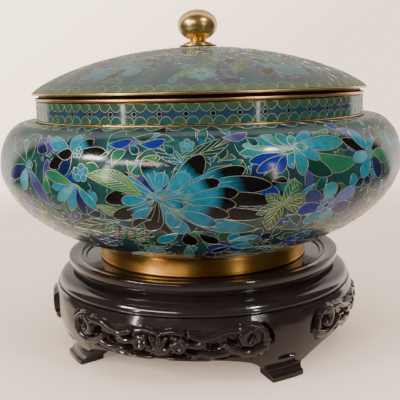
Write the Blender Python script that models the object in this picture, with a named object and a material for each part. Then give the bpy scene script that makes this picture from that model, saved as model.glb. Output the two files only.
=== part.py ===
"""A cloisonne covered bowl on its carved wooden stand, as separate pieces at real size.

Metres, +Z up. The origin is on the table, under the centre of the stand. The bowl stands in the
stand's recess and lifts out of it, and the lid lifts out of the bowl's mouth.
"""

import math

import bmesh
import bpy
from mathutils import Matrix, Vector

MM = 0.001

# ---------------------------------------------------------------- driving dimensions
TURN_STEPS = 32  # facets round a large turned piece
SMALL_STEPS = 24  # facets round a knob-sized piece
FIT = 0.3 * MM  # clearance between two pieces that touch
SLIDE_FIT = 0.7 * MM  # radial clearance of a piece that lifts out

# bowl
BOWL_RADIUS = 125.0 * MM  # at its widest, over the enamel
BODY_HEIGHT = 78.5 * MM  # from the foot ring's top to the neck band's lower edge
SHOULDER_RISE = 26.3 * MM  # from the widest place up to the crown of the shoulder
NECK_RADIUS = 102.0 * MM
NECK_HEIGHT = 11.0 * MM
CROWN_OFFSET = 5.3 * MM  # from the neck out to the shoulder's highest circle
FOOT_RADIUS = 67.0 * MM
FOOT_HEIGHT = 10.3 * MM
FOOT_WALL = 2.2 * MM
FOOT_LIP = 0.9 * MM  # the small bead along the foot ring's lower edge
FLOOR_DROP = 1.0 * MM  # how far the bowl's floor hangs below its outline at the foot
BELLY_FULLNESS = 1.87  # 2 is an ellipse, less is leaner
BELLY_CENTRE_RADIUS = 15.7 * MM
RIM_HEIGHT = 2.2 * MM
RIM_PROUD = 0.5 * MM  # how far the rim stands out from the neck band

# walls
ENAMEL = 1.3 * MM
COPPER = 1.0 * MM
LINING = 0.8 * MM
WIRE = 0.8 * MM  # the border wires' width

# lid
LID_OVERHANG = 2.2 * MM  # how far the lid stands out over the neck
LID_RISE = 26.6 * MM
DOME_POWER = 0.78  # 0.5 is an ellipse, 1 is a parabola
LID_RIM_HEIGHT = 1.3 * MM
LID_SEAT_HEIGHT = 1.4 * MM  # the set-back step that rests on the mouth rim
LID_SEAT_INSET = 3.8 * MM  # leaves a dark groove between lid and mouth
LID_EDGE_INSET = 0.6 * MM  # the enamel stops short of the rim's edge
FLANGE_DEPTH = 6.0 * MM
FLANGE_WALL = 1.2 * MM

# knob
BALL_RADIUS = 12.5 * MM
BALL_HALF_HEIGHT = 9.6 * MM
KNOB_NECK_RADIUS = 5.1 * MM
KNOB_NECK_FOOT_RADIUS = 9.0 * MM
KNOB_NECK_HEIGHT = 3.0 * MM
PLATE_RADIUS = 11.9 * MM
PLATE_HEIGHT = 1.1 * MM
STUD_RADIUS = 2.0 * MM
STUD_IN_KNOB = 11.0 * MM
WASHER_RADIUS = 6.0 * MM
WASHER_HEIGHT = 0.8 * MM
NUT_FLATS = 7.0 * MM
NUT_HEIGHT = 3.2 * MM
STUD_END = 1.0 * MM  # how far the stud stands out of the nut

# stand
SEAT_HEIGHT = 56.0 * MM  # the panel's top face, on which the bowl's foot rests
RING_WIDTH = 10.9 * MM  # of the top ring, from the recess to its outer edge
RING_HEIGHT = 6.5 * MM
RING_TAPER = 1.6 * MM  # how much narrower the ring is at its underside
RING_ROUNDING = 0.9 * MM  # of its upper outer corner
RECESS_DEPTH = 2.8 * MM
RECESS_CLEARANCE = 9.9 * MM  # between the bowl's foot and the recess wall
BEAD_WIDTH = 2.6 * MM  # the low step round the recess
BEAD_DROP = 1.9 * MM
COVE_INSET = 3.8 * MM  # the cove under the ring, from the ring's outer edge inwards
MOULDING_HEIGHT = 9.7 * MM
COVE_SHARE = 0.2  # of the moulding ring's height, above its swell
MOULDING_SWELL = 6.8 * MM  # how far the moulding stands out from the ring
MOULDING_LEDGE = 5.0 * MM  # how far the panel rests on the moulding
DRUM_STEP = 0.8 * MM  # from the moulding out to the top of the legs and aprons
DRUM_SWELL = 2.0 * MM  # from there out to where they are fullest
DRUM_FULLEST = 32.0 * MM  # that height above the table
ANKLE_INSET = 8.1 * MM  # how far the legs draw in at the ankle
ANKLE_HEIGHT = 6.0 * MM
TOE_REACH = 3.9 * MM  # how far the toe turns out again
TOE_HEIGHT = 2.7 * MM
APRON_WALL = 10.0 * MM
LEG_DEPTH = 20.0 * MM  # from front to back at the top
FOOT_DEPTH = 14.9 * MM  # and at the foot
LEG_COUNT = 4
LEG_HALF_ANGLE = math.radians(15)  # of the leg's block, where it meets the aprons
FOOT_HALF_WIDTH = 10.7 * MM
APRON_MIDDLE = 19.0 * MM  # the apron's lower edge above the table, half-way between the legs
APRON_END = 14.5 * MM  # and where it meets a leg
TENON_WIDTH = 9.0 * MM
TENON_DEPTH = 4.4 * MM
TENON_IN_RING = 2.6 * MM
TENON_IN_LEG = 3.0 * MM

# ---------------------------------------------------------------- sizes that follow
FOOT_BOTTOM = SEAT_HEIGHT + FIT
FOOT_TOP = FOOT_BOTTOM + FOOT_HEIGHT
NECK_BOTTOM = FOOT_TOP + BODY_HEIGHT
WIDEST = NECK_BOTTOM - SHOULDER_RISE
NECK_TOP = NECK_BOTTOM + NECK_HEIGHT
RIM_TOP = NECK_TOP + RIM_HEIGHT
LID_SEAT = RIM_TOP + FIT
LID_RIM_TOP = LID_SEAT + LID_SEAT_HEIGHT + LID_RIM_HEIGHT
DOME_BASE = LID_RIM_TOP - LID_RIM_HEIGHT / 2
DOME_TOP = DOME_BASE + LID_RISE
RING_TOP = SEAT_HEIGHT + RECESS_DEPTH
RING_BOTTOM = RING_TOP - RING_HEIGHT
MOULDING_TOP = RING_BOTTOM - FIT
MOULDING_BOTTOM = MOULDING_TOP - MOULDING_HEIGHT
DRUM_TOP = MOULDING_BOTTOM - FIT
CROWN_RADIUS = NECK_RADIUS + CROWN_OFFSET
LID_RADIUS = NECK_RADIUS + LID_OVERHANG
RECESS_RADIUS = FOOT_RADIUS + RECESS_CLEARANCE
RING_RADIUS = RECESS_RADIUS + RING_WIDTH
COVE_RADIUS = RING_RADIUS - COVE_INSET
MOULDING_RADIUS = RING_RADIUS + MOULDING_SWELL
DRUM_TOP_RADIUS = MOULDING_RADIUS + DRUM_STEP
DRUM_RADIUS = DRUM_TOP_RADIUS + DRUM_SWELL
ANKLE_RADIUS = DRUM_RADIUS - ANKLE_INSET
TOE_RADIUS = ANKLE_RADIUS + TOE_REACH
COPPER_DEPTH = ENAMEL + FIT  # from the enamel's surface to the copper's outside
LINING_DEPTH = COPPER_DEPTH + COPPER + FIT
LINING_INSIDE = LINING_DEPTH + LINING
STUD_HOLE = STUD_RADIUS + FIT
MOUTH_RADIUS = NECK_RADIUS - LINING_INSIDE - FIT


# ---------------------------------------------------------------- helpers
def clear_scene():
    for old in list(bpy.data.objects):
        bpy.data.objects.remove(old, do_unlink=True)


def material(name, colour, roughness, metallic=0.0):
    made = bpy.data.materials.new(name)
    made.use_nodes = True
    shader = made.node_tree.nodes["Principled BSDF"]
    shader.inputs["Base Color"].default_value = (*colour, 1.0)
    shader.inputs["Roughness"].default_value = roughness
    shader.inputs["Metallic"].default_value = metallic
    return made


def add_object(name, bm, finish, parent):
    """Turns a bmesh into an object under its body's empty, with its normals facing out."""
    bmesh.ops.remove_doubles(bm, verts=bm.verts, dist=1e-6)
    bmesh.ops.recalc_face_normals(bm, faces=bm.faces)
    mesh = bpy.data.meshes.new(name)
    bm.to_mesh(mesh)
    bm.free()
    mesh.shade_smooth()
    mesh.set_sharp_from_angle(angle=math.radians(30))
    mesh.materials.append(finish)
    made = bpy.data.objects.new(name, mesh)
    bpy.context.scene.collection.objects.link(made)
    made.parent = parent
    return made


def turned(name, profile, finish, parent, steps=TURN_STEPS):
    """A turned piece: a profile of (radius, height) points, spun about the axis.

    A profile that starts and ends on the axis makes a solid, any other is closed into a ring.
    """
    bm = bmesh.new()
    verts = [bm.verts.new((r, 0.0, z)) for r, z in profile]
    solid = profile[0][0] == 0.0 and profile[-1][0] == 0.0
    pairs = list(zip(verts, verts[1:]))
    if not solid:
        pairs.append((verts[-1], verts[0]))
    edges = [bm.edges.new(pair) for pair in pairs]
    bmesh.ops.spin(
        bm, geom=verts + edges, cent=(0, 0, 0), axis=(0, 0, 1), angle=math.tau, steps=steps, use_merge=True
    )
    return add_object(name, bm, finish, parent)


def offset_curve(curve, depth):
    """The same number of points, moved inwards by depth along each point's own normal."""
    moved = []
    for i, (r, z) in enumerate(curve):
        before = Vector(curve[max(i - 1, 0)])
        after = Vector(curve[min(i + 1, len(curve) - 1)])
        along = (after - before).normalized()
        moved.append((r + along.y * depth, z - along.x * depth))
    return moved


def shell(curve, outside, inside):
    """The closed profile of a wall between two depths under a curve."""
    return offset_curve(curve, outside) + offset_curve(curve, inside)[::-1]


def rounded_box(inner, outer, low, high, edge):
    """A ring's section with its two outer corners cut at 45 degrees."""
    return [
        (inner, high),
        (outer - edge, high),
        (outer, high - edge),
        (outer, low + edge),
        (outer - edge, low),
        (inner, low),
    ]


# ---------------------------------------------------------------- the bowl's outline
def shoulder_curve(points=4):
    """From the neck over the crown of the shoulder to the widest place."""
    width = BOWL_RADIUS - CROWN_RADIUS
    start = math.acos((NECK_RADIUS + WIRE - CROWN_RADIUS) / width)
    turns = [start * (1 - i / points) for i in range(points + 1)]
    return [(CROWN_RADIUS + width * math.cos(t), WIDEST + SHOULDER_RISE * math.sin(t)) for t in turns]


def belly_radius_at(turn):
    reach = BOWL_RADIUS - BELLY_CENTRE_RADIUS
    return BELLY_CENTRE_RADIUS + reach * math.cos(turn) ** (2 / BELLY_FULLNESS)


def belly_curve(points=6):
    """From the widest place down and in to the foot ring, a superellipse."""
    share = (FOOT_RADIUS - BELLY_CENTRE_RADIUS) / (BOWL_RADIUS - BELLY_CENTRE_RADIUS)
    end = math.acos(share ** (BELLY_FULLNESS / 2))
    drop = (WIDEST - FOOT_TOP) / math.sin(end) ** (2 / BELLY_FULLNESS)
    turns = [end * (i + 1) / points for i in range(points)]
    return [(belly_radius_at(t), WIDEST - drop * math.sin(t) ** (2 / BELLY_FULLNESS)) for t in turns]


def dome_height(radius):
    """The lid's outer surface above a point that far from the axis."""
    return DOME_BASE + LID_RISE * (1 - (radius / LID_RADIUS) ** 2) ** DOME_POWER


def dome_curve(inner, outer, points):
    """From the crown of the lid outwards."""
    radii = [inner + (outer - inner) * math.sin(math.pi / 2 * i / points) for i in range(points + 1)]
    return [(r, dome_height(r)) for r in radii]


def vessel_outline(belly, depth):
    """The bowl's outline at a depth under its surface: neck, shoulder, belly and floor."""
    neck = NECK_RADIUS - depth
    floor_height = FOOT_TOP - FLOOR_DROP + depth
    outline = [(neck, NECK_TOP), (neck, NECK_BOTTOM - depth)]
    outline += offset_curve(belly, depth)
    outline += [(FOOT_RADIUS / 2, floor_height), (0.0, floor_height)]
    return outline


def build_bowl(body, finishes):
    belly = shoulder_curve() + belly_curve()
    copper = vessel_outline(belly, COPPER_DEPTH)[::-1] + vessel_outline(belly, COPPER_DEPTH + COPPER)
    turned("bowl_copper_body", copper, finishes["copper"], body)
    lining = vessel_outline(belly, LINING_DEPTH)[::-1] + vessel_outline(belly, LINING_INSIDE)
    turned("bowl_lining_enamel", lining, finishes["lining"], body)
    turned("bowl_enamel", shell(belly, 0.0, ENAMEL), finishes["enamel"], body)

    band_bottom = NECK_BOTTOM + FIT
    band = [(NECK_RADIUS, NECK_TOP - FIT), (NECK_RADIUS, band_bottom)]
    turned("neck_enamel", shell(band, 0.0, ENAMEL), finishes["band"], body)

    wire_top = band_bottom - FIT
    wire_inside = NECK_RADIUS - ENAMEL
    wire_outside = NECK_RADIUS + WIRE - FIT
    wire = rounded_box(wire_inside, wire_outside, wire_top - WIRE, wire_top, WIRE / 4)
    turned("shoulder_wire", wire, finishes["brass"], body)

    rim_outside = NECK_RADIUS + RIM_PROUD
    rim = rounded_box(MOUTH_RADIUS, rim_outside, NECK_TOP + FIT, RIM_TOP, RIM_HEIGHT / 3)
    turned("mouth_rim", rim, finishes["brass"], body)


def build_foot(body, finishes):
    """The soldered foot ring, and the enamel under the bowl inside it."""
    inside = FOOT_RADIUS - FOOT_WALL
    ring = [
        (inside, FOOT_TOP + COPPER_DEPTH / 2),
        (FOOT_RADIUS - COPPER_DEPTH - FIT, FOOT_TOP + COPPER_DEPTH / 2),
        (FOOT_RADIUS, FOOT_TOP - FIT),
        (FOOT_RADIUS, FOOT_BOTTOM + 2 * FOOT_LIP),
        (FOOT_RADIUS + FOOT_LIP / 2, FOOT_BOTTOM + FOOT_LIP),
        (FOOT_RADIUS + FOOT_LIP / 2, FOOT_BOTTOM),
        (inside, FOOT_BOTTOM),
    ]
    turned("foot_ring", ring, finishes["brass"], body)
    base_radius = inside - FIT
    base_top = FOOT_TOP - FLOOR_DROP + COPPER_DEPTH - FIT
    base = [(0.0, base_top), (base_radius, base_top), (base_radius, base_top - LINING), (0.0, base_top - LINING)]
    turned("base_enamel", base, finishes["lining"], body)


def build_lid(body, finishes):
    edge = LID_RADIUS - LID_EDGE_INSET
    field = dome_curve(STUD_HOLE, edge, 8)
    under = offset_curve(field, ENAMEL)
    under[0] = (STUD_HOLE, under[0][1])
    under[-1] = (edge - ENAMEL, LID_RIM_TOP + FIT)
    field[-1] = (edge, LID_RIM_TOP + FIT)
    turned("lid_enamel", field + under[::-1], finishes["enamel"], body)

    whole = dome_curve(STUD_HOLE, edge - ENAMEL, 6)

    def lid_wall(outside, inside):
        """A dome under the enamel that ends on the flat top of the lid's rim."""
        outer = offset_curve(whole, outside)
        inner = offset_curve(whole, inside)
        outer[-1] = (edge - outside - FIT, LID_RIM_TOP + FIT)
        inner[-1] = (edge - inside - FIT, LID_RIM_TOP + FIT)
        outer[0] = (STUD_HOLE, outer[0][1])
        inner[0] = (STUD_HOLE, inner[0][1])
        return outer + inner[::-1]

    turned("lid_copper_dome", lid_wall(COPPER_DEPTH, COPPER_DEPTH + COPPER), finishes["copper"], body)
    turned("lid_lining_enamel", lid_wall(LINING_DEPTH, LINING_INSIDE), finishes["lining"], body)

    flange_outside = MOUTH_RADIUS - SLIDE_FIT
    flange_inside = flange_outside - FLANGE_WALL
    step = LID_SEAT + LID_SEAT_HEIGHT
    curl = LID_RIM_HEIGHT / 4
    rim = [
        (flange_inside, LID_RIM_TOP),
        (LID_RADIUS - curl, LID_RIM_TOP),
        (LID_RADIUS, LID_RIM_TOP - curl),
        (LID_RADIUS, step + curl),
        (LID_RADIUS - curl, step),
        (LID_RADIUS - LID_SEAT_INSET, step),
        (LID_RADIUS - LID_SEAT_INSET, LID_SEAT),
        (flange_outside, LID_SEAT),
        (flange_outside, LID_SEAT - FLANGE_DEPTH),
        (flange_inside, LID_SEAT - FLANGE_DEPTH),
    ]
    turned("lid_rim", rim, finishes["brass"], body)


def build_knob(body, finishes):
    """A ball on a flared neck, drawn down on its plate by a stud, washer and nut."""
    plate_low = DOME_TOP + FIT
    plate_high = plate_low + PLATE_HEIGHT
    plate = rounded_box(STUD_HOLE, PLATE_RADIUS, plate_low, plate_high, PLATE_HEIGHT / 3)
    turned("knob_plate", plate, finishes["brass"], body, SMALL_STEPS)

    neck_low = plate_high + FIT
    start = math.asin(KNOB_NECK_RADIUS / BALL_RADIUS)
    centre = neck_low + KNOB_NECK_HEIGHT + BALL_HALF_HEIGHT * math.cos(start)
    rise = 9
    turns = [math.pi - start - (math.pi - start) * i / rise for i in range(rise + 1)]
    ball = [(BALL_RADIUS * math.sin(t), centre + BALL_HALF_HEIGHT * math.cos(t)) for t in turns]
    ball[-1] = (0.0, ball[-1][1])
    flare = [
        (KNOB_NECK_FOOT_RADIUS, neck_low),
        (KNOB_NECK_FOOT_RADIUS, neck_low + PLATE_HEIGHT / 2),
        ((KNOB_NECK_RADIUS * 2 + KNOB_NECK_FOOT_RADIUS) / 3, neck_low + KNOB_NECK_HEIGHT * 0.35),
        (KNOB_NECK_RADIUS, neck_low + KNOB_NECK_HEIGHT * 0.7),
    ]
    socket_top = neck_low + STUD_IN_KNOB + FIT
    socket = [(0.0, socket_top), (STUD_HOLE, socket_top), (STUD_HOLE, neck_low)]
    turned("knob", socket + flare + ball, finishes["brass"], body, SMALL_STEPS)

    washer_top = dome_height(WASHER_RADIUS) - LINING_INSIDE - FIT
    washer = rounded_box(STUD_HOLE, WASHER_RADIUS, washer_top - WASHER_HEIGHT, washer_top, WASHER_HEIGHT / 4)
    turned("knob_washer", washer, finishes["brass"], body, SMALL_STEPS)

    nut_top = washer_top - WASHER_HEIGHT - FIT
    corner = NUT_FLATS / 2 / math.cos(math.radians(30))
    nut = turned(
        "knob_nut",
        [(STUD_HOLE, nut_top), (corner, nut_top), (corner, nut_top - NUT_HEIGHT), (STUD_HOLE, nut_top - NUT_HEIGHT)],
        finishes["brass"],
        body,
        6,
    )
    nut.data.set_sharp_from_angle(angle=math.radians(20))
    stud_low = nut_top - NUT_HEIGHT - STUD_END
    stud_high = neck_low + STUD_IN_KNOB
    nib = STUD_RADIUS / 3
    stud = [
        (0.0, stud_low),
        (STUD_RADIUS - nib, stud_low),
        (STUD_RADIUS - FIT, stud_low + nib),
        (STUD_RADIUS - FIT, stud_high),
        (0.0, stud_high),
    ]
    turned("knob_stud", stud, finishes["brass"], body, SMALL_STEPS // 2)


# ---------------------------------------------------------------- the stand
def drum_radius(height, toe=0.0):
    """The outside of the legs and aprons: full at the middle, drawn in at the ankle.

    With toe 1 the foot turns out below the ankle, as the legs do.
    """
    if height >= DRUM_FULLEST:
        share = (height - DRUM_FULLEST) / (DRUM_TOP - DRUM_FULLEST)
        return DRUM_RADIUS + (DRUM_TOP_RADIUS - DRUM_RADIUS) * share**2
    if height >= ANKLE_HEIGHT:
        share = (DRUM_FULLEST - height) / (DRUM_FULLEST - ANKLE_HEIGHT)
        return DRUM_RADIUS + (ANKLE_RADIUS - DRUM_RADIUS) * share**2
    share = min((ANKLE_HEIGHT - height) / (ANKLE_HEIGHT - TOE_HEIGHT), 1.0)
    return ANKLE_RADIUS + toe * (TOE_RADIUS - ANKLE_RADIUS) * share**2


def apron_edge(angle):
    """The height of the apron's lower edge at an angle from its middle."""
    span = math.pi / LEG_COUNT - LEG_HALF_ANGLE
    return APRON_MIDDLE + (APRON_END - APRON_MIDDLE) * (abs(angle) / span) ** 4


def curved_board(name, columns, finish, parent, turn):
    """A board bent round the axis: columns of (angle, radius, height, depth), left to right."""
    bm = bmesh.new()
    sides = []
    for column in columns:
        outer = [(r * math.cos(a), r * math.sin(a), z) for a, r, z, _ in column]
        inner = [((r - d) * math.cos(a), (r - d) * math.sin(a), z) for a, r, z, d in column]
        sides.append([bm.verts.new(point) for point in outer + inner[::-1]])
    for left, right in zip(sides, sides[1:]):
        for i in range(len(left)):
            j = (i + 1) % len(left)
            bm.faces.new((left[i], right[i], right[j], left[j]))
    for side in (sides[0], sides[-1]):
        for i in range(len(columns[0]) - 1):
            bm.faces.new((side[i], side[i + 1], side[-2 - i], side[-1 - i]))
    bmesh.ops.rotate(bm, cent=(0, 0, 0), matrix=Matrix.Rotation(turn, 3, "Z"), verts=bm.verts)
    return add_object(name, bm, finish, parent)


def leg_columns(steps=8):
    """A leg's outline: as wide as its block above, drawn in to the foot below."""
    rise = DRUM_TOP - ANKLE_HEIGHT
    heights = [ANKLE_HEIGHT + rise * (1 - i / steps) for i in range(steps + 1)]
    heights += [(ANKLE_HEIGHT + TOE_HEIGHT) / 2, TOE_HEIGHT, 0.0]
    columns = []
    for share in (-1.0, -0.5, 0.0, 0.5, 1.0):
        column = []
        for z in heights:
            radius = drum_radius(z, 1.0)
            foot_angle = FOOT_HALF_WIDTH / radius
            spread = min(max((z - TOE_HEIGHT) / (APRON_END - TOE_HEIGHT), 0.0), 1.0)
            angle = foot_angle + (LEG_HALF_ANGLE - foot_angle) * spread**1.5
            depth = FOOT_DEPTH + (LEG_DEPTH - FOOT_DEPTH) * min(z / DRUM_FULLEST, 1.0)
            column.append((share * angle, radius, z, depth))
        columns.append(column)
    return columns


def apron_columns(steps=6, levels=5):
    """An apron between two legs, its lower edge a shallow arch."""
    span = math.pi / LEG_COUNT - LEG_HALF_ANGLE - FIT / ANKLE_RADIUS
    columns = []
    for k in range(-steps, steps + 1):
        angle = span * k / steps
        drop = DRUM_TOP - apron_edge(angle)
        heights = [DRUM_TOP - drop * i / levels for i in range(levels + 1)]
        columns.append([(angle, drum_radius(z), z, APRON_WALL) for z in heights])
    return columns


def tenon_block(name, clearance, turn, parent, finish):
    """The tenon's box, or with a clearance the mortise that takes it."""
    middle = (RECESS_RADIUS + COVE_RADIUS) / 2
    low = DRUM_TOP - TENON_IN_LEG
    high = RING_BOTTOM + TENON_IN_RING + clearance
    deep = TENON_DEPTH / 2 + clearance
    wide = TENON_WIDTH / 2 + clearance
    bm = bmesh.new()
    bmesh.ops.create_cube(bm, size=1.0)
    bmesh.ops.scale(bm, vec=(2 * deep, 2 * wide, high - low), verts=bm.verts)
    bmesh.ops.translate(bm, vec=(middle, 0, (high + low) / 2), verts=bm.verts)
    bmesh.ops.rotate(bm, cent=(0, 0, 0), matrix=Matrix.Rotation(turn, 3, "Z"), verts=bm.verts)
    made = add_object(name, bm, finish, parent)
    made.hide_render = True
    made.display_type = "WIRE"
    return made


def combine(target, tool, operation, name):
    """Joins the tool's shape to the target, or takes it away."""
    boolean = target.modifiers.new(name, "BOOLEAN")
    boolean.operation = operation
    boolean.object = tool


def build_stand(body, finish):
    ring = [
        (RECESS_RADIUS, RING_BOTTOM),
        (RECESS_RADIUS, RING_TOP - BEAD_DROP),
        (RECESS_RADIUS + BEAD_WIDTH, RING_TOP - BEAD_DROP),
        (RECESS_RADIUS + BEAD_WIDTH, RING_TOP),
        (RING_RADIUS - RING_ROUNDING, RING_TOP),
        (RING_RADIUS, RING_TOP - RING_ROUNDING),
        (RING_RADIUS - RING_TAPER, RING_BOTTOM),
    ]
    top = turned("stand_top_ring", ring, finish, body)

    panel_radius = RECESS_RADIUS - FIT
    panel = [(0.0, SEAT_HEIGHT), (panel_radius, SEAT_HEIGHT), (panel_radius, RING_BOTTOM), (0.0, RING_BOTTOM)]
    turned("stand_seat_panel", panel, finish, body)

    cove_height = MOULDING_HEIGHT * COVE_SHARE
    swell_width = MOULDING_RADIUS - COVE_RADIUS
    swell_height = MOULDING_HEIGHT - cove_height
    turns = [math.radians(a) for a in (12, 34, 56, 78)]
    section = [(RECESS_RADIUS - MOULDING_LEDGE, MOULDING_TOP), (COVE_RADIUS, MOULDING_TOP)]
    section += [(COVE_RADIUS, MOULDING_TOP - cove_height * 0.6)]
    section += [
        (COVE_RADIUS + swell_width * math.sin(t), MOULDING_BOTTOM + swell_height * math.cos(t)) for t in turns
    ]
    section += [(MOULDING_RADIUS, MOULDING_BOTTOM), (RECESS_RADIUS - MOULDING_LEDGE, MOULDING_BOTTOM)]
    moulding = turned("stand_moulding_ring", section, finish, body)

    for n in range(1, LEG_COUNT + 1):
        leg_turn = math.tau * (n - 0.5) / LEG_COUNT
        leg = curved_board(f"stand_leg_{n}", leg_columns(), finish, body, leg_turn)
        tenon = tenon_block(f"tenon_shape_{n}", 0.0, leg_turn, body, finish)
        combine(leg, tenon, "UNION", "tenon")
        mortise = tenon_block(f"mortise_shape_{n}", FIT, leg_turn, body, finish)
        combine(moulding, mortise, "DIFFERENCE", f"mortise_{n}")
        combine(top, mortise, "DIFFERENCE", f"mortise_{n}")
        curved_board(f"stand_apron_{n}", apron_columns(), finish, body, math.tau * n / LEG_COUNT)


def main():
    clear_scene()
    finishes = {
        "copper": material("copper", (0.72, 0.33, 0.18), 0.4, 1.0),
        "brass": material("gilt_brass", (0.80, 0.55, 0.22), 0.22, 1.0),
        "enamel": material("floral_enamel", (0.03, 0.16, 0.24), 0.12),
        "band": material("border_enamel", (0.02, 0.12, 0.22), 0.12),
        "lining": material("lining_enamel", (0.05, 0.32, 0.42), 0.15),
    }
    wood = material("lacquered_wood", (0.03, 0.018, 0.016), 0.2)
    bodies = {}
    for name in ("stand", "bowl", "lid"):
        bodies[name] = bpy.data.objects.new(name + "_body", None)
        bpy.context.scene.collection.objects.link(bodies[name])
    build_stand(bodies["stand"], wood)
    build_bowl(bodies["bowl"], finishes)
    build_foot(bodies["bowl"], finishes)
    build_lid(bodies["lid"], finishes)
    build_knob(bodies["lid"], finishes)


main()
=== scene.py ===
# %% [markdown]
# # A cloisonne covered bowl on its carved stand
#
# Cloisonne is glass on copper. Thin brass wires are bent into the outlines of petals and leaves
# and soldered on edge to a copper bowl. Each little cell is filled with ground glass, fired,
# filled again, and at last the whole surface is stoned and polished until wires and glass are
# one smooth skin. Here the bowl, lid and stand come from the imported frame, and every visible
# skin is made again as fine geometry around it: turned metal, wired enamel and carved wood.

# %% Load the frame and the helpers
import math

import bpy
import numpy as np
from mathutils import Matrix, Vector


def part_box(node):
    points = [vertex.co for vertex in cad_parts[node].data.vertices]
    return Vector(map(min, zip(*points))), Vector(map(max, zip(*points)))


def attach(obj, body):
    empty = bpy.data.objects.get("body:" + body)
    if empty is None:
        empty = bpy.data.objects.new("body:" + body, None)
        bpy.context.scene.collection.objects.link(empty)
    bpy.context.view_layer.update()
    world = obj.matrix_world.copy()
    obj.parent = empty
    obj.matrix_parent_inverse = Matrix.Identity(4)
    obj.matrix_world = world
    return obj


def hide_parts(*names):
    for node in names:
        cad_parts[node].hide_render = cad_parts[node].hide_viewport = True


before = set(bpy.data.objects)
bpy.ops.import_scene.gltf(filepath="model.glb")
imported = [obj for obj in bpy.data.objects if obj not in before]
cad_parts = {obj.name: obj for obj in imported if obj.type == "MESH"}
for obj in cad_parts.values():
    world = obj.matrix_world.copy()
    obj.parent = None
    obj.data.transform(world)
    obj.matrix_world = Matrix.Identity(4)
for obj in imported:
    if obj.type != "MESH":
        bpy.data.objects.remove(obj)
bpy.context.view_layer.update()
MM = 0.001
rng = np.random.default_rng(7)

# %% [markdown]
# ## Sizes
#
# Every size is read from the frame's own boxes, so the fine skins land exactly on the solids
# that they stand for. Only the shape of the curves between those sizes is written here: the
# shoulder is a quarter ellipse, the belly a superellipse and the lid a flattened parabola.

# %% Read the sizes from the frame
body_low, body_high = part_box("bowl_enamel")
neck_low, neck_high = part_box("neck_enamel")
mouth_low, mouth_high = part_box("mouth_rim")
foot_low, foot_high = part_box("foot_ring")
lid_low, lid_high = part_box("lid_rim")
dome_low, dome_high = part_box("lid_enamel")
plate_low, plate_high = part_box("knob_plate")
knob_low, knob_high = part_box("knob")
ring_low, ring_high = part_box("stand_top_ring")
panel_low, panel_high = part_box("stand_seat_panel")
moulding_low, moulding_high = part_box("stand_moulding_ring")

SHOULDER_RISE = 26.3 * MM  # from the widest place up to the crown
CROWN_OFFSET = 5.3 * MM  # how far outside the neck the shoulder is highest
BELLY_FULLNESS = 1.87  # 2 is an ellipse, and less is leaner
BELLY_CENTRE = 15.7 * MM
FOOT_LIP = 0.9 * MM
LID_RISE = 26.6 * MM
DOME_POWER = 0.78  # 1 is a parabola, and less is flatter on top
ENAMEL = 1.3 * MM  # thickness of the patterned glass
LINING = 0.8 * MM  # thickness of the plain glass inside
FIT = 0.3 * MM  # the gap that lets one piece go into another

BOWL_RADIUS = body_high.x
NECK_RADIUS = neck_high.x
FOOT_RADIUS = foot_high.x - FOOT_LIP / 2
LID_RADIUS = lid_high.x
CROWN_RADIUS = NECK_RADIUS + CROWN_OFFSET
CROWN = body_high.z
FOOT_TOP = body_low.z
WIDEST = CROWN - SHOULDER_RISE
print("bowl radius", round(BOWL_RADIUS / MM, 1), "mm, lid radius", round(LID_RADIUS / MM, 1), "mm")

# %% [markdown]
# ## Turning
#
# The bowl, the lid, the knob and the stand's rings are all made on a wheel or a lathe, so one
# helper turns a profile of (radius, height) points about the axis. It builds the grid of
# vertices directly, with many steps round, because a polished rim shows every facet.

# %% From points and faces to a finished piece
SHARP = math.radians(38)  # an edge that turns more than this stays crisp


def add_piece(name, verts, faces, finish, body, replaced=(), colours=None):
    """Makes a smooth mesh object that rides on a body and stands for some nodes."""
    mesh = bpy.data.meshes.new(name)
    verts = np.asarray(verts, dtype=np.float32)
    faces = np.asarray(faces, dtype=np.int32)
    corners = faces.shape[1]
    mesh.vertices.add(len(verts))
    mesh.vertices.foreach_set("co", verts.ravel())
    mesh.loops.add(faces.size)
    mesh.loops.foreach_set("vertex_index", faces.ravel())
    mesh.polygons.add(len(faces))
    mesh.polygons.foreach_set("loop_start", np.arange(0, faces.size, corners, dtype=np.int32))
    mesh.update(calc_edges=True)
    if colours is not None:
        layer = mesh.color_attributes.new("glass", "FLOAT_COLOR", "POINT")
        rgba = np.ones((len(verts), 4), dtype=np.float32)
        rgba[:, :3] = colours
        layer.data.foreach_set("color", rgba.ravel())
    mesh.validate()
    mesh.shade_smooth()
    mesh.set_sharp_from_angle(angle=SHARP)
    mesh.materials.append(finish)
    piece = bpy.data.objects.new(name, mesh)
    bpy.context.scene.collection.objects.link(piece)
    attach(piece, body)
    if replaced:
        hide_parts(*replaced)
    return piece


# %% The lathe
AXIS_GAP = 0.02 * MM  # a point on the axis stays this far off it, so that no face closes up


def grid_faces(rows, columns, wrap_rows=False, wrap_columns=True):
    """Four-cornered faces over a grid whose vertices run row by row."""
    r = np.arange(rows if wrap_rows else rows - 1)
    c = np.arange(columns if wrap_columns else columns - 1)
    r, c = np.meshgrid(r, c, indexing="ij")
    below, beside = (r + 1) % rows, (c + 1) % columns
    corners = [r * columns + c, below * columns + c, below * columns + beside, r * columns + beside]
    return np.stack([k.ravel() for k in corners], axis=1)


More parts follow.
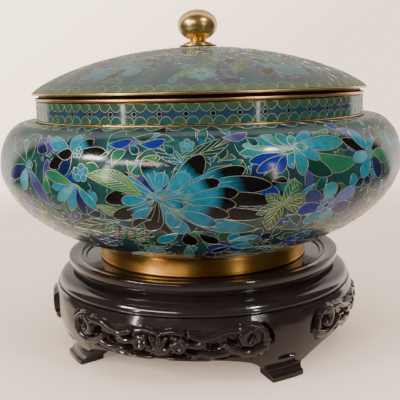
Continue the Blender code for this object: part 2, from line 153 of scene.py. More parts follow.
def turned(name, profile, finish, body, replaced=(), steps=256):
    """Turns a closed (radius, height) profile, listed from the top down its outer side."""
    profile = np.asarray(profile, dtype=float)
    angle = np.arange(steps) * math.tau / steps
    ring = np.stack([np.cos(angle), np.sin(angle)], axis=1)
    radius = np.maximum(profile[:, 0], AXIS_GAP)
    xy = radius[:, None, None] * ring[None]
    z = np.repeat(profile[:, 1][:, None, None], steps, axis=1)
    verts = np.concatenate([xy, z], axis=2).reshape(-1, 3)
    piece = add_piece(name, verts, grid_faces(len(profile), steps, wrap_rows=True), finish, body, replaced)
    print(f"{name}: turned, {len(profile)} profile points")
    return piece


# %% Ways to draw a profile
def arc(centre_r, centre_z, radius_r, radius_z, start, end, points):
    """Part of an ellipse as (radius, height) points, angles in degrees."""
    turns = np.radians(np.linspace(start, end, points))
    return [(centre_r + radius_r * math.cos(t), centre_z + radius_z * math.sin(t)) for t in turns]


def soften(corners, fillet, points=4):
    """Rounds each corner of a closed profile with a small quadratic curve."""
    soft = []
    count = len(corners)
    for i, corner in enumerate(corners):
        here, before, after = Vector(corner), Vector(corners[i - 1]), Vector(corners[(i + 1) % count])
        into = (before - here).normalized() * min(fillet, (before - here).length / 2.2)
        out = (after - here).normalized() * min(fillet, (after - here).length / 2.2)
        for k in range(points + 1):
            t = k / points
            soft.append(tuple(here + into * (1 - t) ** 2 + out * t**2))
    return soft


def offset_curve(curve, depth):
    """Moves each point of a curve inwards by depth along its own normal."""
    curve = np.asarray(curve, dtype=float)
    along = np.gradient(curve, axis=0)
    along /= np.linalg.norm(along, axis=1)[:, None]
    return curve + depth * np.stack([along[:, 1], -along[:, 0]], axis=1)


# %% [markdown]
# ## Finishes
#
# Each finish is a small node tree on Blender's Principled shader. No real surface is even, so
# every tree starts from noise: it wanders between two colours, between two roughnesses, and
# lifts the surface a little. Noise in the piece's own space needs no unwrapping, which is why it
# is chosen over painted images. Six small helpers make the trees short.

# %% Noise and ranges
def new_finish(name):
    """A new material, with its node tree and its main shader."""
    made = bpy.data.materials.new(name)
    made.use_nodes = True
    shader = made.node_tree.nodes["Principled BSDF"]
    return made, made.node_tree, shader


def add_noise(tree, scale, detail=4.0, roughness=0.5, stretch=(1, 1, 1)):
    """A noise texture in the piece's own space, stretched along its axes."""
    place = tree.nodes.new("ShaderNodeTexCoord")
    mapping = tree.nodes.new("ShaderNodeMapping")
    mapping.inputs["Scale"].default_value = stretch
    tree.links.new(place.outputs["Object"], mapping.inputs["Vector"])
    noise = tree.nodes.new("ShaderNodeTexNoise")
    noise.inputs["Scale"].default_value = scale
    noise.inputs["Detail"].default_value = detail
    noise.inputs["Roughness"].default_value = roughness
    tree.links.new(mapping.outputs["Vector"], noise.inputs["Vector"])
    return noise.outputs["Fac"]


def spread(tree, value, low, high, from_low=0.3, from_high=0.7):
    """Remaps a noise value to the range low to high."""
    remap = tree.nodes.new("ShaderNodeMapRange")
    remap.inputs["From Min"].default_value = from_low
    remap.inputs["From Max"].default_value = from_high
    remap.inputs["To Min"].default_value = low
    remap.inputs["To Max"].default_value = high
    tree.links.new(value, remap.inputs["Value"])
    return remap.outputs["Result"]


# %% Mixing, bump and colour names
def mix_colour(tree, factor, first, second):
    """Mixes two colours or colour outputs by a factor."""
    mix = tree.nodes.new("ShaderNodeMix")
    mix.data_type = "RGBA"
    for socket, value in (("Factor", factor), ("A", first), ("B", second)):
        target = [s for s in mix.inputs if s.name == socket and (socket == "Factor" or s.type == "RGBA")][0]
        if isinstance(value, bpy.types.NodeSocket):
            tree.links.new(value, target)
        elif socket == "Factor":
            target.default_value = value
        else:
            target.default_value = (*value, 1.0)
    return [s for s in mix.outputs if s.type == "RGBA"][0]


def add_bump(tree, shader, height, distance, strength):
    """Lifts the shading of a surface by a height value, at most by a distance."""
    bump = tree.nodes.new("ShaderNodeBump")
    bump.inputs["Distance"].default_value = distance
    bump.inputs["Strength"].default_value = strength
    tree.links.new(height, bump.inputs["Height"])
    tree.links.new(bump.outputs["Normal"], shader.inputs["Normal"])


def linear(red, green, blue):
    """A colour as a painter names it, 0 to 255, in the linear values that light works with."""
    c = np.array([red, green, blue]) / 255.0
    return tuple(np.where(c <= 0.04045, c / 12.92, ((c + 0.055) / 1.055) ** 2.4).tolist())


# %% [markdown]
# ### Brass
#
# The rims and the knob are gilt brass, turned and rubbed bright, with a little tarnish left in
# it. The foot ring is brushed, so its highlights smear up and down: that is what the anisotropic
# socket does. The groove under the lid's edge gets a dark red brass, painted shade for the
# shadow between the lid and the mouth rim. The wires are worn pale, and partly covered by the gloss of the
# glass.

# %% Brass
def make_brass(name, bright, deep, rough_low, rough_high, brushed=0.0, metal=1.0):
    """Metal that wanders between two colours, with fine lines from turning."""
    made, tree, shader = new_finish(name)
    shader.inputs["Metallic"].default_value = metal
    shader.inputs["Anisotropic"].default_value = brushed
    shader.inputs["Anisotropic Rotation"].default_value = 0.25
    tarnish = spread(tree, add_noise(tree, 60, 5, 0.6), 0.0, 1.0)
    tree.links.new(mix_colour(tree, tarnish, bright, deep), shader.inputs["Base Color"])
    lines = add_noise(tree, 90, 3, 0.6, (0.15, 0.15, 14))
    tree.links.new(spread(tree, lines, rough_low, rough_high), shader.inputs["Roughness"])
    add_bump(tree, shader, lines, 0.02 * MM, 0.35)
    return made


brass = make_brass("gilt_brass", linear(238, 206, 142), linear(206, 166, 102), 0.24, 0.36)
old_brass = make_brass("brushed_brass", linear(230, 180, 94), linear(192, 132, 60), 0.38, 0.46, 0.9)
# painted shade: a dark red brass for the shadow in the groove between the lid and the mouth rim
painted_shade_brass = make_brass("painted_shade_brass", linear(84, 34, 18), linear(46, 18, 12), 0.5, 0.6)
worn, duller = linear(206, 204, 176), linear(160, 160, 134)
wire_brass = make_brass("cell_wire_brass", worn, duller, 0.30, 0.45, metal=0.6)
copper = make_brass("raised_copper", linear(206, 122, 84), linear(150, 80, 54), 0.25, 0.45)
print("metals made")

# %% [markdown]
# ### Enamel
#
# Enamel is coloured glass. The colour is stored on the mesh, in an attribute named glass, because
# the cells are far too many for a material each. The noise adds the clouds of fused grains, a
# gloss that isn't quite even, and the faint dimples that stoning leaves. The lid's glass is a
# little matt from wear. The neck band was polished on the wheel, so its highlights are drawn out.

# %% Enamel
def make_enamel(name, cloud=0.25, polish=0.0, rough_low=0.09, rough_high=0.20):
    """Glass that takes its colour from the mesh."""
    made, tree, shader = new_finish(name)
    shader.inputs["IOR"].default_value = 1.38
    shader.inputs["Anisotropic"].default_value = polish
    shader.inputs["Anisotropic Rotation"].default_value = 0.25
    glass = tree.nodes.new("ShaderNodeAttribute")
    glass.attribute_name = "glass"
    grains = add_noise(tree, 420, 6, 0.65)
    shade = spread(tree, grains, 1 - cloud, 1 + cloud)
    scaled = tree.nodes.new("ShaderNodeVectorMath")
    scaled.operation = "SCALE"
    tree.links.new(glass.outputs["Color"], scaled.inputs[0])
    tree.links.new(shade, scaled.inputs["Scale"])
    tree.links.new(scaled.outputs["Vector"], shader.inputs["Base Color"])
    pits = add_noise(tree, 900, 2, 0.5)
    tree.links.new(spread(tree, pits, rough_low, rough_high, 0.35, 0.75), shader.inputs["Roughness"])
    add_bump(tree, shader, add_noise(tree, 130, 4, 0.5), 0.05 * MM, 0.5)
    return made


def make_lining(name, light, dark):
    """The plain glass inside the bowl and lid, mottled between two blues."""
    made, tree, shader = new_finish(name)
    shader.inputs["IOR"].default_value = 1.55
    clouds = spread(tree, add_noise(tree, 55, 7, 0.6), 0.0, 1.0)
    tree.links.new(mix_colour(tree, clouds, light, dark), shader.inputs["Base Color"])
    tree.links.new(spread(tree, add_noise(tree, 300, 3, 0.5), 0.08, 0.2), shader.inputs["Roughness"])
    add_bump(tree, shader, add_noise(tree, 160, 4, 0.5), 0.08 * MM, 0.6)
    return made


enamel = make_enamel("floral_enamel")
band_enamel = make_enamel("border_enamel", 0.2, 0.8)
lid_enamel = make_enamel("lid_enamel", 0.25, 0.0, 0.22, 0.34)
lining = make_lining("lining_enamel", linear(52, 142, 160), linear(30, 108, 132))
print("enamels made")

# %% [markdown]
# ### Lacquered wood
#
# The stand is a dark hardwood, stained nearly black and lacquered. The grain only just shows, as
# a slow change of colour that runs along the piece, and the lacquer is a clear coat over it with
# a sharp gloss. The coat sockets of the shader give the two layers without a second material.

# %% Wood
def make_wood(name):
    """Stained wood under a clear coat."""
    made, tree, shader = new_finish(name)
    shader.inputs["IOR"].default_value = 1.42
    shader.inputs["Coat Weight"].default_value = 0.45
    shader.inputs["Coat Roughness"].default_value = 0.05
    grain = add_noise(tree, 45, 8, 0.65, (1, 1, 9))
    streaks = spread(tree, grain, 0.0, 1.0)
    colour = mix_colour(tree, streaks, linear(43, 35, 34), linear(25, 20, 20))
    tree.links.new(colour, shader.inputs["Base Color"])
    tree.links.new(spread(tree, add_noise(tree, 160, 4, 0.6), 0.08, 0.18), shader.inputs["Roughness"])
    add_bump(tree, shader, grain, 0.10 * MM, 0.35)
    return made


wood = make_wood("lacquered_wood")
print("wood made")

# %% [markdown]
# ## Painting in glass
#
# A cloisonne worker draws the whole design on the copper first, bends a wire along each outline
# and then fills the cells one colour at a time. The script does the same. A canvas is a surface
# of revolution, unrolled: one way is the angle round the axis, the other the distance down the
# outline. A cell is a closed outline on it. Filling a cell colours the canvas' vertices inside
# it, blended from the petal's root to its tip, and its outline is kept as a wire. Where a later
# cell covers an older one, the older wire is cut away, as it would be on the bench.

# %% Is a point inside a cell?
def inside(outline, x, y):
    """Which points lie in a closed outline, by counting the edges that a ray crosses."""
    found = np.zeros(np.shape(x), dtype=bool)
    following = np.roll(outline, -1, axis=0)
    for (x0, y0), (x1, y1) in zip(outline, following):
        if y0 == y1:
            continue
        crosses = (y0 > y) != (y1 > y)
        found ^= crosses & (x < (x1 - x0) * (y - y0) / (y1 - y0) + x0)
    return found


# %% The canvas
WIRE_WIDTH = 0.33 * MM
VEIN_WIDTH = 0.32 * MM
LEAST_RADIUS = 0.1 * MM  # so that nothing is divided by nought at the axis
BACK_STEP = 12  # the hidden back of a skin keeps one row in twelve


class Canvas:
    """A turned surface, unrolled: angle round the axis against distance down its outline."""

    def __init__(self, outline, rows, columns, ground):
        outline = np.asarray(outline, dtype=float)
        steps = np.linalg.norm(np.diff(outline, axis=0), axis=1)
        self.marks = np.concatenate([[0.0], np.cumsum(steps)])
        self.outline = outline
        self.length = self.marks[-1]
        self.down = np.linspace(0, self.length, rows)
        self.around = np.arange(columns) * math.tau / columns
        self.radius, self.height = self.place(self.down)
        angle, down = np.meshgrid(self.around, self.down)
        mottle = np.zeros_like(angle)
        for k in range(14):
            turns = rng.integers(3, 42)
            pace = rng.uniform(-260, 260)
            mottle += np.sin(turns * angle + pace * down + rng.uniform(0, math.tau)) / 14
        blend = np.clip(0.5 + 1.6 * mottle, 0, 1)[..., None]
        self.colour = np.array(ground[0]) * (1 - blend) + np.array(ground[1]) * blend
        self.cells = []
        self.wires = []

    def place(self, down):
        """Radius and height at a distance down the outline."""
        radius = np.interp(down, self.marks, self.outline[:, 0])
        height = np.interp(down, self.marks, self.outline[:, 1])
        return radius, height

    def narrowest(self, top, bottom):
        """The smaller of the radii at two distances down the outline."""
        ends = np.clip([top, bottom], 0, self.length)
        return max(self.place(ends)[0].min(), LEAST_RADIUS)

    def fill(self, angle, down, outline, paint):
        """Fills a cell whose outline is in metres round (angle, down), and keeps its wire."""
        lowest, highest = outline.min(axis=0), outline.max(axis=0)
        rows = np.nonzero((self.down >= down + lowest[1]) & (self.down <= down + highest[1]))[0]
        smallest = self.narrowest(down + lowest[1], down + highest[1])
        if len(rows):
            columns = len(self.around)
            step = math.tau / columns
            first = math.floor((angle + lowest[0] / smallest) / step)
            last = math.ceil((angle + highest[0] / smallest) / step)
            index = np.arange(first, min(last, first + columns - 1) + 1)
            turned_by, depth = np.meshgrid(index * step - angle, self.down[rows] - down)
            x = turned_by * self.radius[rows][:, None]
            hit = inside(outline, x, depth)
            where = np.nonzero(hit)
            self.colour[rows[where[0]], index[where[1]] % columns] = paint(x[hit], depth[hit])
        self.cells.append((angle, down, outline))
        self.draw(angle, down, np.vstack([outline, outline[:1]]), WIRE_WIDTH)

    def draw(self, angle, down, line, width):
        """Keeps a wire along a line in metres round (angle, down)."""
        self.wires.append((len(self.cells), angle, down, np.asarray(line, dtype=float), width))

    def surface(self, name, finish, body, replaced, depth):
        """The glass itself: the painted outside, closed by a plain inside at a depth."""
        def sheet(curve):
            ring = np.stack([np.cos(self.around), np.sin(self.around)], axis=1)
            xy = curve[:, 0][:, None, None] * ring[None]
            z = np.repeat(curve[:, 1][:, None, None], len(self.around), axis=1)
            return np.concatenate([xy, z], axis=2)

        front = np.stack([self.radius, self.height], axis=1)
        back = offset_curve(front, depth)[::-BACK_STEP]
        verts = np.concatenate([sheet(front), sheet(back)])
        colours = np.concatenate([self.colour, self.colour[::-BACK_STEP]])
        faces = grid_faces(len(verts), len(self.around), wrap_rows=True)
        print(f"{name}: {len(self.cells)} cells on {len(faces)} faces")
        return add_piece(name, verts.reshape(-1, 3), faces, finish, body, replaced, colours.reshape(-1, 3))


# %% [markdown]
# ## A vocabulary of cells
#
# The flowers are all built from a few shapes. A petal swells from its root and rounds off at the
# tip, bending a little to one side. A leaf is a petal with a point, a midrib and side veins. A
# blossom is a ring of short petals. Every glass colour runs from root to tip, because the
# worker lays a light grain into a dark one while both are wet.

# %% Colours of glass, from root to tip
TURQUOISE, PALE, DEEP_TEAL = linear(30, 114, 138), linear(88, 150, 156), linear(18, 64, 70)
COBALT, NAVY, INDIGO = linear(20, 36, 124), linear(14, 24, 66), linear(38, 46, 100)
BLACK, BROWN = linear(12, 11, 13), linear(30, 24, 22)
GREEN, BRIGHT = linear(32, 98, 70), linear(84, 132, 58)
OLIVE, FOREST = linear(64, 94, 60), linear(12, 54, 46)
MOSS, FERN = linear(58, 82, 58), linear(38, 76, 66)
LAVENDER, VIOLET = linear(92, 104, 154), linear(58, 56, 104)
OCHRE, JADE = linear(150, 106, 36), linear(34, 108, 98)
GLASS = {
    "turquoise": ((0, PALE), (0.25, TURQUOISE), (1, TURQUOISE)),
    "dipped": ((0, PALE), (0.2, TURQUOISE), (0.56, TURQUOISE), (0.76, BLACK), (1, BLACK)),
    "smoked": ((0, PALE), (0.2, TURQUOISE), (0.42, TURQUOISE), (0.64, BROWN), (1, BLACK)),
    "brown": ((0, TURQUOISE), (0.16, BROWN), (1, BLACK)),
    "tipped": ((0, PALE), (0.3, TURQUOISE), (0.8, TURQUOISE), (1, BROWN)),
    "black": ((0, DEEP_TEAL), (0.25, BLACK), (1, BLACK)),
    "cobalt": ((0, TURQUOISE), (0.3, COBALT), (1, COBALT)),
    "navy": ((0, INDIGO), (0.5, NAVY), (1, NAVY)),
    "shell": ((0, PALE), (0.5, JADE), (1, PALE)),
    "jade": ((0, PALE), (0.4, TURQUOISE), (1, JADE)),
    "forest": ((0, JADE), (0.4, FOREST), (1, FOREST)),
    "green": ((0, BRIGHT), (0.5, GREEN), (1, GREEN)),
    "bright": ((0, BRIGHT), (0.45, GREEN), (1, BRIGHT)),
    "olive": ((0, GREEN), (0.3, OLIVE), (1, OLIVE)),
    "lavender": ((0, PALE), (0.4, LAVENDER), (1, LAVENDER)),
    "violet": ((0, LAVENDER), (0.5, VIOLET), (1, VIOLET)),
    "mist": ((0, LAVENDER), (0.4, PALE), (1, TURQUOISE)),
    "ochre": ((0, OCHRE), (1, BROWN)),
    "teal": ((0, TURQUOISE), (0.5, DEEP_TEAL), (1, DEEP_TEAL)),
    "sea": ((0, JADE), (0.5, DEEP_TEAL), (1, NAVY)),
    "moss": ((0, MOSS), (1, FERN)),
    "fern": ((0, FERN), (1, linear(28, 82, 84))),
}


def blended(stops, t):
    """The colour at t, from 0 at the root to 1 at the tip."""
    where = [s[0] for s in stops]
    return np.stack([np.interp(t, where, [s[1][c] for s in stops]) for c in range(3)], axis=-1)


# %% Petals and veins
def petal_half_width(t, width, widest, blunt):
    """Half the width along a petal: nothing at its ends, full where it is widest."""
    swell = np.clip(t, 0, 1) ** (math.log(0.5) / math.log(widest))
    return width / 2 * np.maximum(np.sin(math.pi * swell), 0) ** blunt


def span(canvas, base, tip):
    """Length and direction, in metres, between two (degrees, millimetres) places."""
    middle = canvas.place((base[1] + tip[1]) / 2 * MM)[0]
    across = math.radians(tip[0] - base[0]) * middle
    downwards = (tip[1] - base[1]) * MM
    return math.hypot(across, downwards), math.atan2(downwards, across)


def petal(canvas, base, tip, width, glass, bend=0.0, widest=0.62, blunt=0.62, turn=0.0):
    """One petal from a base to a tip, both (degrees, mm), its width in millimetres."""
    length, heading = span(canvas, base, tip)
    width = width * MM
    cos, sin = math.cos(heading), math.sin(heading)
    points = max(10, int(length / (1.3 * MM)))
    t = (1 - np.cos(np.linspace(0, math.pi, points))) / 2
    half = petal_half_width(t, width, widest, blunt)
    line = bend * length * 4 * t * (1 - t)
    there = np.stack([t * length, line + half], axis=1)
    back = np.stack([t * length, line - half], axis=1)[::-1]
    flat = np.vstack([there, back[1:-1]])
    outline = np.stack([flat[:, 0] * cos - flat[:, 1] * sin, flat[:, 0] * sin + flat[:, 1] * cos], axis=1)
    stops = GLASS[glass]
    wobble, tilt = rng.uniform(0, math.tau), rng.uniform(-0.08, 0.08)

    def paint(x, y):
        along = (x * cos + y * sin) / length
        aside = (-x * sin + y * cos - bend * length * 4 * along * (1 - along)) / width
        streak = 0.012 * np.sin(aside * 22 + wobble) + tilt * aside
        shade = 1 + 0.07 * np.sin(aside * 31 + 2 * wobble)
        return blended(stops, np.clip(along + streak, 0, 1)) * shade[..., None]

    canvas.fill(math.radians(base[0]) + turn, base[1] * MM, outline, paint)
    return length, heading


def vein(canvas, base, points, turn=0.0):
    """A bare wire through points in metres from a base, smoothed."""
    points = np.asarray(points, dtype=float)
    t = np.linspace(0, len(points) - 1, max(8, 7 * len(points)))
    line = np.stack([smooth_through(points[:, c], t) for c in range(2)], axis=1)
    canvas.draw(math.radians(base[0]) + turn, base[1] * MM, line, VEIN_WIDTH)


def smooth_through(values, t):
    """Catmull-Rom interpolation of a list of values at fractional indices."""
    padded = np.concatenate([[2 * values[0] - values[1]], values, [2 * values[-1] - values[-2]]])
    i = np.clip(np.floor(t).astype(int), 0, len(values) - 2)
    f = t - i
    a, b, c, d = padded[i], padded[i + 1], padded[i + 2], padded[i + 3]
    square = 2 * a - 5 * b + 4 * c - d
    cube = 3 * b - a - 3 * c + d
    return 0.5 * (2 * b + (c - a) * f + square * f**2 + cube * f**3)


# %% Leaves, blossoms and dots
LEAF_WIDEST, LEAF_BLUNT = 0.5, 0.9


def ribbed(canvas, base, tip, width, glass, veins=0, bend=0.0, turn=0.0):
    """A leaf with a midrib and side veins."""
    length, heading = petal(canvas, base, tip, width, glass, bend, LEAF_WIDEST, LEAF_BLUNT, turn)
    cos, sin = math.cos(heading), math.sin(heading)

    def local(t, aside):
        y = bend * length * 4 * t * (1 - t) + aside
        return (t * length * cos - y * sin, t * length * sin + y * cos)

    vein(canvas, base, [local(t, 0.0) for t in (0.02, 0.35, 0.7, 0.94)], turn)
    for k in range(veins):
        root = 0.12 + 0.62 * k / veins
        for side in (-1, 1):
            end = min(root + 0.26, 0.93)
            reach = side * 0.86 * petal_half_width(end, width * MM, LEAF_WIDEST, LEAF_BLUNT)
            middle = (root + end) / 2 - 0.03
            vein(canvas, base, [local(root, 0), local(middle, reach * 0.42), local(end, reach)], turn)


def blossom(canvas, centre, radius, glass, heart="jade", petals=5, start=-90, turn=0.0):
    """A small flower: petals round a heart. The radius is in millimetres."""
    middle = canvas.place(centre[1] * MM)[0]
    for k in range(petals):
        heading = math.radians(start + 360 * k / petals)
        across = math.degrees(radius * MM * math.cos(heading) / middle)
        tip = (centre[0] + across, centre[1] + radius * math.sin(heading))
        petal(canvas, centre, tip, radius * 4.1 / petals, glass, widest=0.66, blunt=0.5, turn=turn)
    dot(canvas, centre, radius * 0.3, heart, turn)


def dot(canvas, centre, radius, glass, turn=0.0):
    """A round cell, its colour running outwards from the middle."""
    ring = np.radians(np.linspace(0, 360, 13)[:-1])
    outline = np.stack([np.cos(ring), np.sin(ring)], axis=1) * radius * MM
    stops = GLASS[glass]

    def paint(x, y):
        return blended(stops, np.clip(np.hypot(x, y) / (radius * MM), 0, 1))

    canvas.fill(math.radians(centre[0]) + turn, centre[1] * MM, outline, paint)


print(len(GLASS), "glass blends ready")

# %% [markdown]
# ## The three canvases
#
# The bowl's outline runs from the wire at the neck over the shoulder to the foot ring. The neck
# is a plain band. The lid runs from the knob's plate out to its rim. Everything on them is placed
# by degrees round from the front and by millimetres down the outline, as on a paper pattern.

# %% Outlines
CENTRE_HOLE = 2.4 * MM  # round the knob's stud


def bowl_outline():
    """The quarter ellipse of the shoulder, then the belly down to the foot ring."""
    width = BOWL_RADIUS - CROWN_RADIUS
    start = math.acos((NECK_RADIUS + 0.8 * MM - CROWN_RADIUS) / width)
    curve = [
        (CROWN_RADIUS + width * math.cos(t), WIDEST + SHOULDER_RISE * math.sin(t))
        for t in np.linspace(start, 0, 90)
    ]
    share = (FOOT_RADIUS - BELLY_CENTRE) / (BOWL_RADIUS - BELLY_CENTRE)
    end = math.acos(share ** (BELLY_FULLNESS / 2))
    drop = (WIDEST - FOOT_TOP) / math.sin(end) ** (2 / BELLY_FULLNESS)
    for t in np.linspace(0, end, 160)[1:]:
        radius = BELLY_CENTRE + (BOWL_RADIUS - BELLY_CENTRE) * math.cos(t) ** (2 / BELLY_FULLNESS)
        curve.append((radius, WIDEST - drop * math.sin(t) ** (2 / BELLY_FULLNESS)))
    return curve


DOME_BASE = lid_high.z - 0.65 * MM
LID_EDGE = dome_high.x


def dome_height(radius):
    """Height of the lid's surface at a distance from the axis."""
    return DOME_BASE + LID_RISE * (1 - (radius / LID_RADIUS) ** 2) ** DOME_POWER


def dome_outline():
    """The lid from the hole in its middle to its edge."""
    curve = [(r, dome_height(r)) for r in np.linspace(CENTRE_HOLE, LID_EDGE, 160)]
    curve[-1] = (LID_EDGE, dome_low.z)
    return curve


FRONT = math.radians(-75.2)  # the side of the bowl that faces the viewer
bowl_canvas = Canvas(bowl_outline(), 200, 1280, (linear(26, 70, 66), linear(28, 46, 62)))
neck_outline = [(NECK_RADIUS, neck_high.z), (NECK_RADIUS, neck_low.z)]
neck_canvas = Canvas(neck_outline, 40, 1536, (linear(40, 66, 82), linear(32, 54, 74)))
lid_canvas = Canvas(dome_outline(), 160, 1152, (linear(34, 84, 100), linear(28, 50, 84)))
for canvas, title in ((bowl_canvas, "bowl"), (neck_canvas, "neck"), (lid_canvas, "lid")):
    print(title, "canvas:", round(canvas.length / MM, 1), "mm down the outline")

# %% [markdown]
# ## The borders
#
# A row of lappets hangs from the wire at the neck. The neck band has two rows of scallops that
# meet tip to tip, with a black dot in a brass ring between every second pair. The lid has one
# row of the same scallops along its rim, pointing inwards.

# %% Lappets, scallops and dots
def scallop(canvas, angle, down, width, reach, glass):
    """A half-round cell that stands on a line and reaches along the outline."""
    turns = np.radians(np.linspace(0, 180, 13))
    outline = np.stack([-np.cos(turns) * width / 2, np.sin(turns) * reach], axis=1)
    stops = GLASS[glass]
    canvas.fill(angle, down, outline, lambda x, y: blended(stops, np.clip(y / reach, 0, 1)))


def border(canvas, count, down, reach, glasses, shift=0.0):
    """A row of scallops all the way round, starting from the front."""
    step = math.tau / count
    for k in range(count):
        glass = glasses[k % len(glasses)]
        scallop(canvas, FRONT + (k + shift) * step, down, step * canvas.place(down)[0], reach, glass)


NECK_SCALLOPS = 96
band = neck_canvas.length
border(neck_canvas, NECK_SCALLOPS, 0.2 * MM, 3.9 * MM, ["moss"], 0.5)
border(neck_canvas, NECK_SCALLOPS, band - 0.2 * MM, -3.9 * MM, ["moss", "fern"], 0.5)
for k in range(NECK_SCALLOPS // 2):
    dot(neck_canvas, (360 / NECK_SCALLOPS * (2 * k + 1), band / MM / 2), 1.25, "black", turn=FRONT)
print("neck:", len(neck_canvas.cells), "cells")

# %% [markdown]
# ## The bowl's flowers
#
# The ground is filled first, with small leaves and petals in dark glass. Then comes one long
# spray of flowers, drawn three times round the bowl with the colours moved on each time. Its
# heart is a large chrysanthemum with turquoise petals dipped in black. A painted image could
# give the same picture, but not the wires: here one outline makes both the cell and its wire.

# %% The ground
def scatter(canvas, count, low, high, glasses, longest):
    """Small petals and leaves at random, to fill the ground between the flowers."""
    for _ in range(count):
        x, y = rng.uniform(0, 360), rng.uniform(low, high)
        heading, length = rng.uniform(0, math.tau), rng.uniform(0.55, 1.0) * longest
        across = math.degrees(length * MM * math.cos(heading) / canvas.place(y * MM)[0])
        glass = glasses[rng.integers(len(glasses))]
        width, bend = length * rng.uniform(0.36, 0.6), rng.uniform(-0.2, 0.2)
        petal(canvas, (x, y), (x + across, y + length * math.sin(heading)), width, glass, bend, blunt=0.75)


GROUND = ["teal", "sea", "forest", "fern", "navy", "cobalt"]
GROUND += ["teal", "black", "green", "violet", "moss", "turquoise"]
scatter(bowl_canvas, 1150, 14, 84, GROUND, 15)
scatter(bowl_canvas, 110, 86, 112, ["teal", "navy", "cobalt", "sea", "turquoise"], 20)
print("ground:", len(bowl_canvas.cells), "cells")


# %% One spray, which can be turned and recoloured
class Spray:
    """Draws cells from the paper pattern, at a turn round the bowl, with some colours swapped."""

    def __init__(self, canvas, turn, swap):
        self.canvas, self.turn, self.swap = canvas, turn, swap

    def petals(self, base, *rows, **more):
        """Petals from one base. Each row is a tip, a width, a glass and perhaps a bend."""
        for tip, width, glass, *bend in rows:
            petal(self.canvas, base, tip, width, self.swap.get(glass, glass), *bend, turn=self.turn, **more)

    def leaf(self, base, tip, width, glass, veins, bend=0.0):
        ribbed(self.canvas, base, tip, width, self.swap.get(glass, glass), veins, bend, self.turn)

    def bloom(self, centre, radius, glass, **more):
        blossom(self.canvas, centre, radius, self.swap.get(glass, glass), turn=self.turn, **more)


# %% [markdown]
# ### The pattern, part by part
#
# Each place is (degrees round from the front, millimetres down from the neck). What is drawn
# later covers what is drawn earlier, so the leaves come first and the bright flowers last.

# %% Leaves behind everything
def back_leaves(spray):
    for row in (
        ((-6, 26), (8, 14), 8, "forest", 5, 0.1),
        ((-3, 30), (-12, 17), 7, "teal", 4),
        ((-25, 50), (-15, 59), 7, "green", 5),
        ((-20, 60), (-36, 68), 9, "forest", 3),
        ((-44, 60), (-60, 72), 10, "green", 5, 0.1),
        ((30, 66), (44, 78), 10, "forest", 5),
        ((-10, 92), (-26, 100), 8, "green", 4),
        ((16, 88), (30, 98), 8, "teal", 4),
    ):
        spray.leaf(*row)


# %% Two dark flowers at the left
def left_flowers(spray):
    spray.petals(
        (-46, 33),
        ((-56, 20), 8, "forest"),
        ((-59, 30), 9, "forest"),
        ((-57, 40), 8, "navy"),
        ((-47, 18), 8, "forest"),
        ((-50, 46), 8, "mist"),
        ((-40, 52), 8, "violet"),
    )
    spray.bloom((-46, 33), 3.4, "jade")
    spray.petals(
        (-31, 25),
        ((-40, 17), 7, "turquoise"),
        ((-31, 14), 7, "turquoise"),
        ((-38, 32), 7, "black"),
        ((-34, 36), 7, "navy"),
        ((-26, 17), 7, "dipped"),
        ((-22, 23), 6, "black"),
    )
    spray.petals((-36, 25.5), ((-31, 25), 6, "black"))
    spray.bloom((-29.5, 24), 3, "turquoise")


# %% The shell flower on the shoulder, and the flower beside it
def shoulder_flowers(spray):
    for k, tip in enumerate(((8.5, 25), (9.5, 21), (11.5, 18), (14.5, 16), (18, 15.5), (21.5, 16.5))):
        spray.petals((21.5, 24), (tip, 5.2, "shell" if k % 2 else "jade", 0.03))
    for tip in ((10.5, 29), (12, 34), (17, 35)):
        spray.petals((19.5, 26), (tip, 5.0, "cobalt"))
    spray.petals(
        (21.5, 22),
        ((33, 14), 6, "green", 0.1),
        ((27, 15), 5, "turquoise"),
        ((36, 22), 8, "jade"),
        ((39, 33), 9, "green", 0.12),
        ((31, 38), 8, "forest", 0.1),
        ((23, 37), 7, "jade", -0.08),
        ((28, 30), 5, "turquoise"),
        ((25, 24), 4, "shell"),
    )


# %% The dark flower at the far right, and the one that hangs at the left
def outer_flowers(spray):
    spray.petals(
        (45, 30),
        ((36, 21), 6, "black"),
        ((40, 16), 7, "turquoise"),
        ((47, 18), 7, "dipped"),
        ((53, 24), 7, "black"),
        ((55, 34), 8, "green"),
        ((50, 44), 8, "navy"),
        ((41, 42), 8, "turquoise"),
        ((38, 32), 6, "mist"),
    )
    spray.bloom((45, 30), 3.2, "turquoise")
    spray.petals(
        (-29, 40),
        ((-37, 42), 5.4, "turquoise"),
        ((-36, 49), 5.4, "mist"),
        ((-33, 55), 5.4, "turquoise"),
        ((-29, 57), 5.4, "navy"),
        ((-25, 53), 5.4, "turquoise"),
    )
    spray.petals((-30, 40), ((-39, 35), 5.5, "green"))
    spray.bloom((-28, 34), 4.6, "turquoise")


# %% The great chrysanthemum: outer petals, each with two veins
HEART = (-9.5, 45)
OUTER_PETALS = (
    ((-4, 69), 9, "turquoise", 0.03),
    ((12, 67), 10, "tipped", 0.08),
    ((14.5, 57), 8, "smoked", 0.04),
    ((-13, 66), 9, "brown", -0.06),
    ((-21, 57), 8, "smoked", -0.04),
    ((-22, 47), 8, "smoked", 0.05),
    ((-19, 36), 7, "tipped", 0.04),
    ((-12.5, 27), 8, "dipped", 0.08),
    ((0.5, 25.5), 10.5, "dipped", 0.06),
    ((9.5, 32), 8.5, "dipped", 0.0),
    ((15.5, 40.5), 8.5, "dipped", -0.05),
    ((17, 49), 7.5, "smoked", -0.02),
)
VEIN_ASIDE = 0.22  # how far a vein lies from a petal's middle, as a share of its width


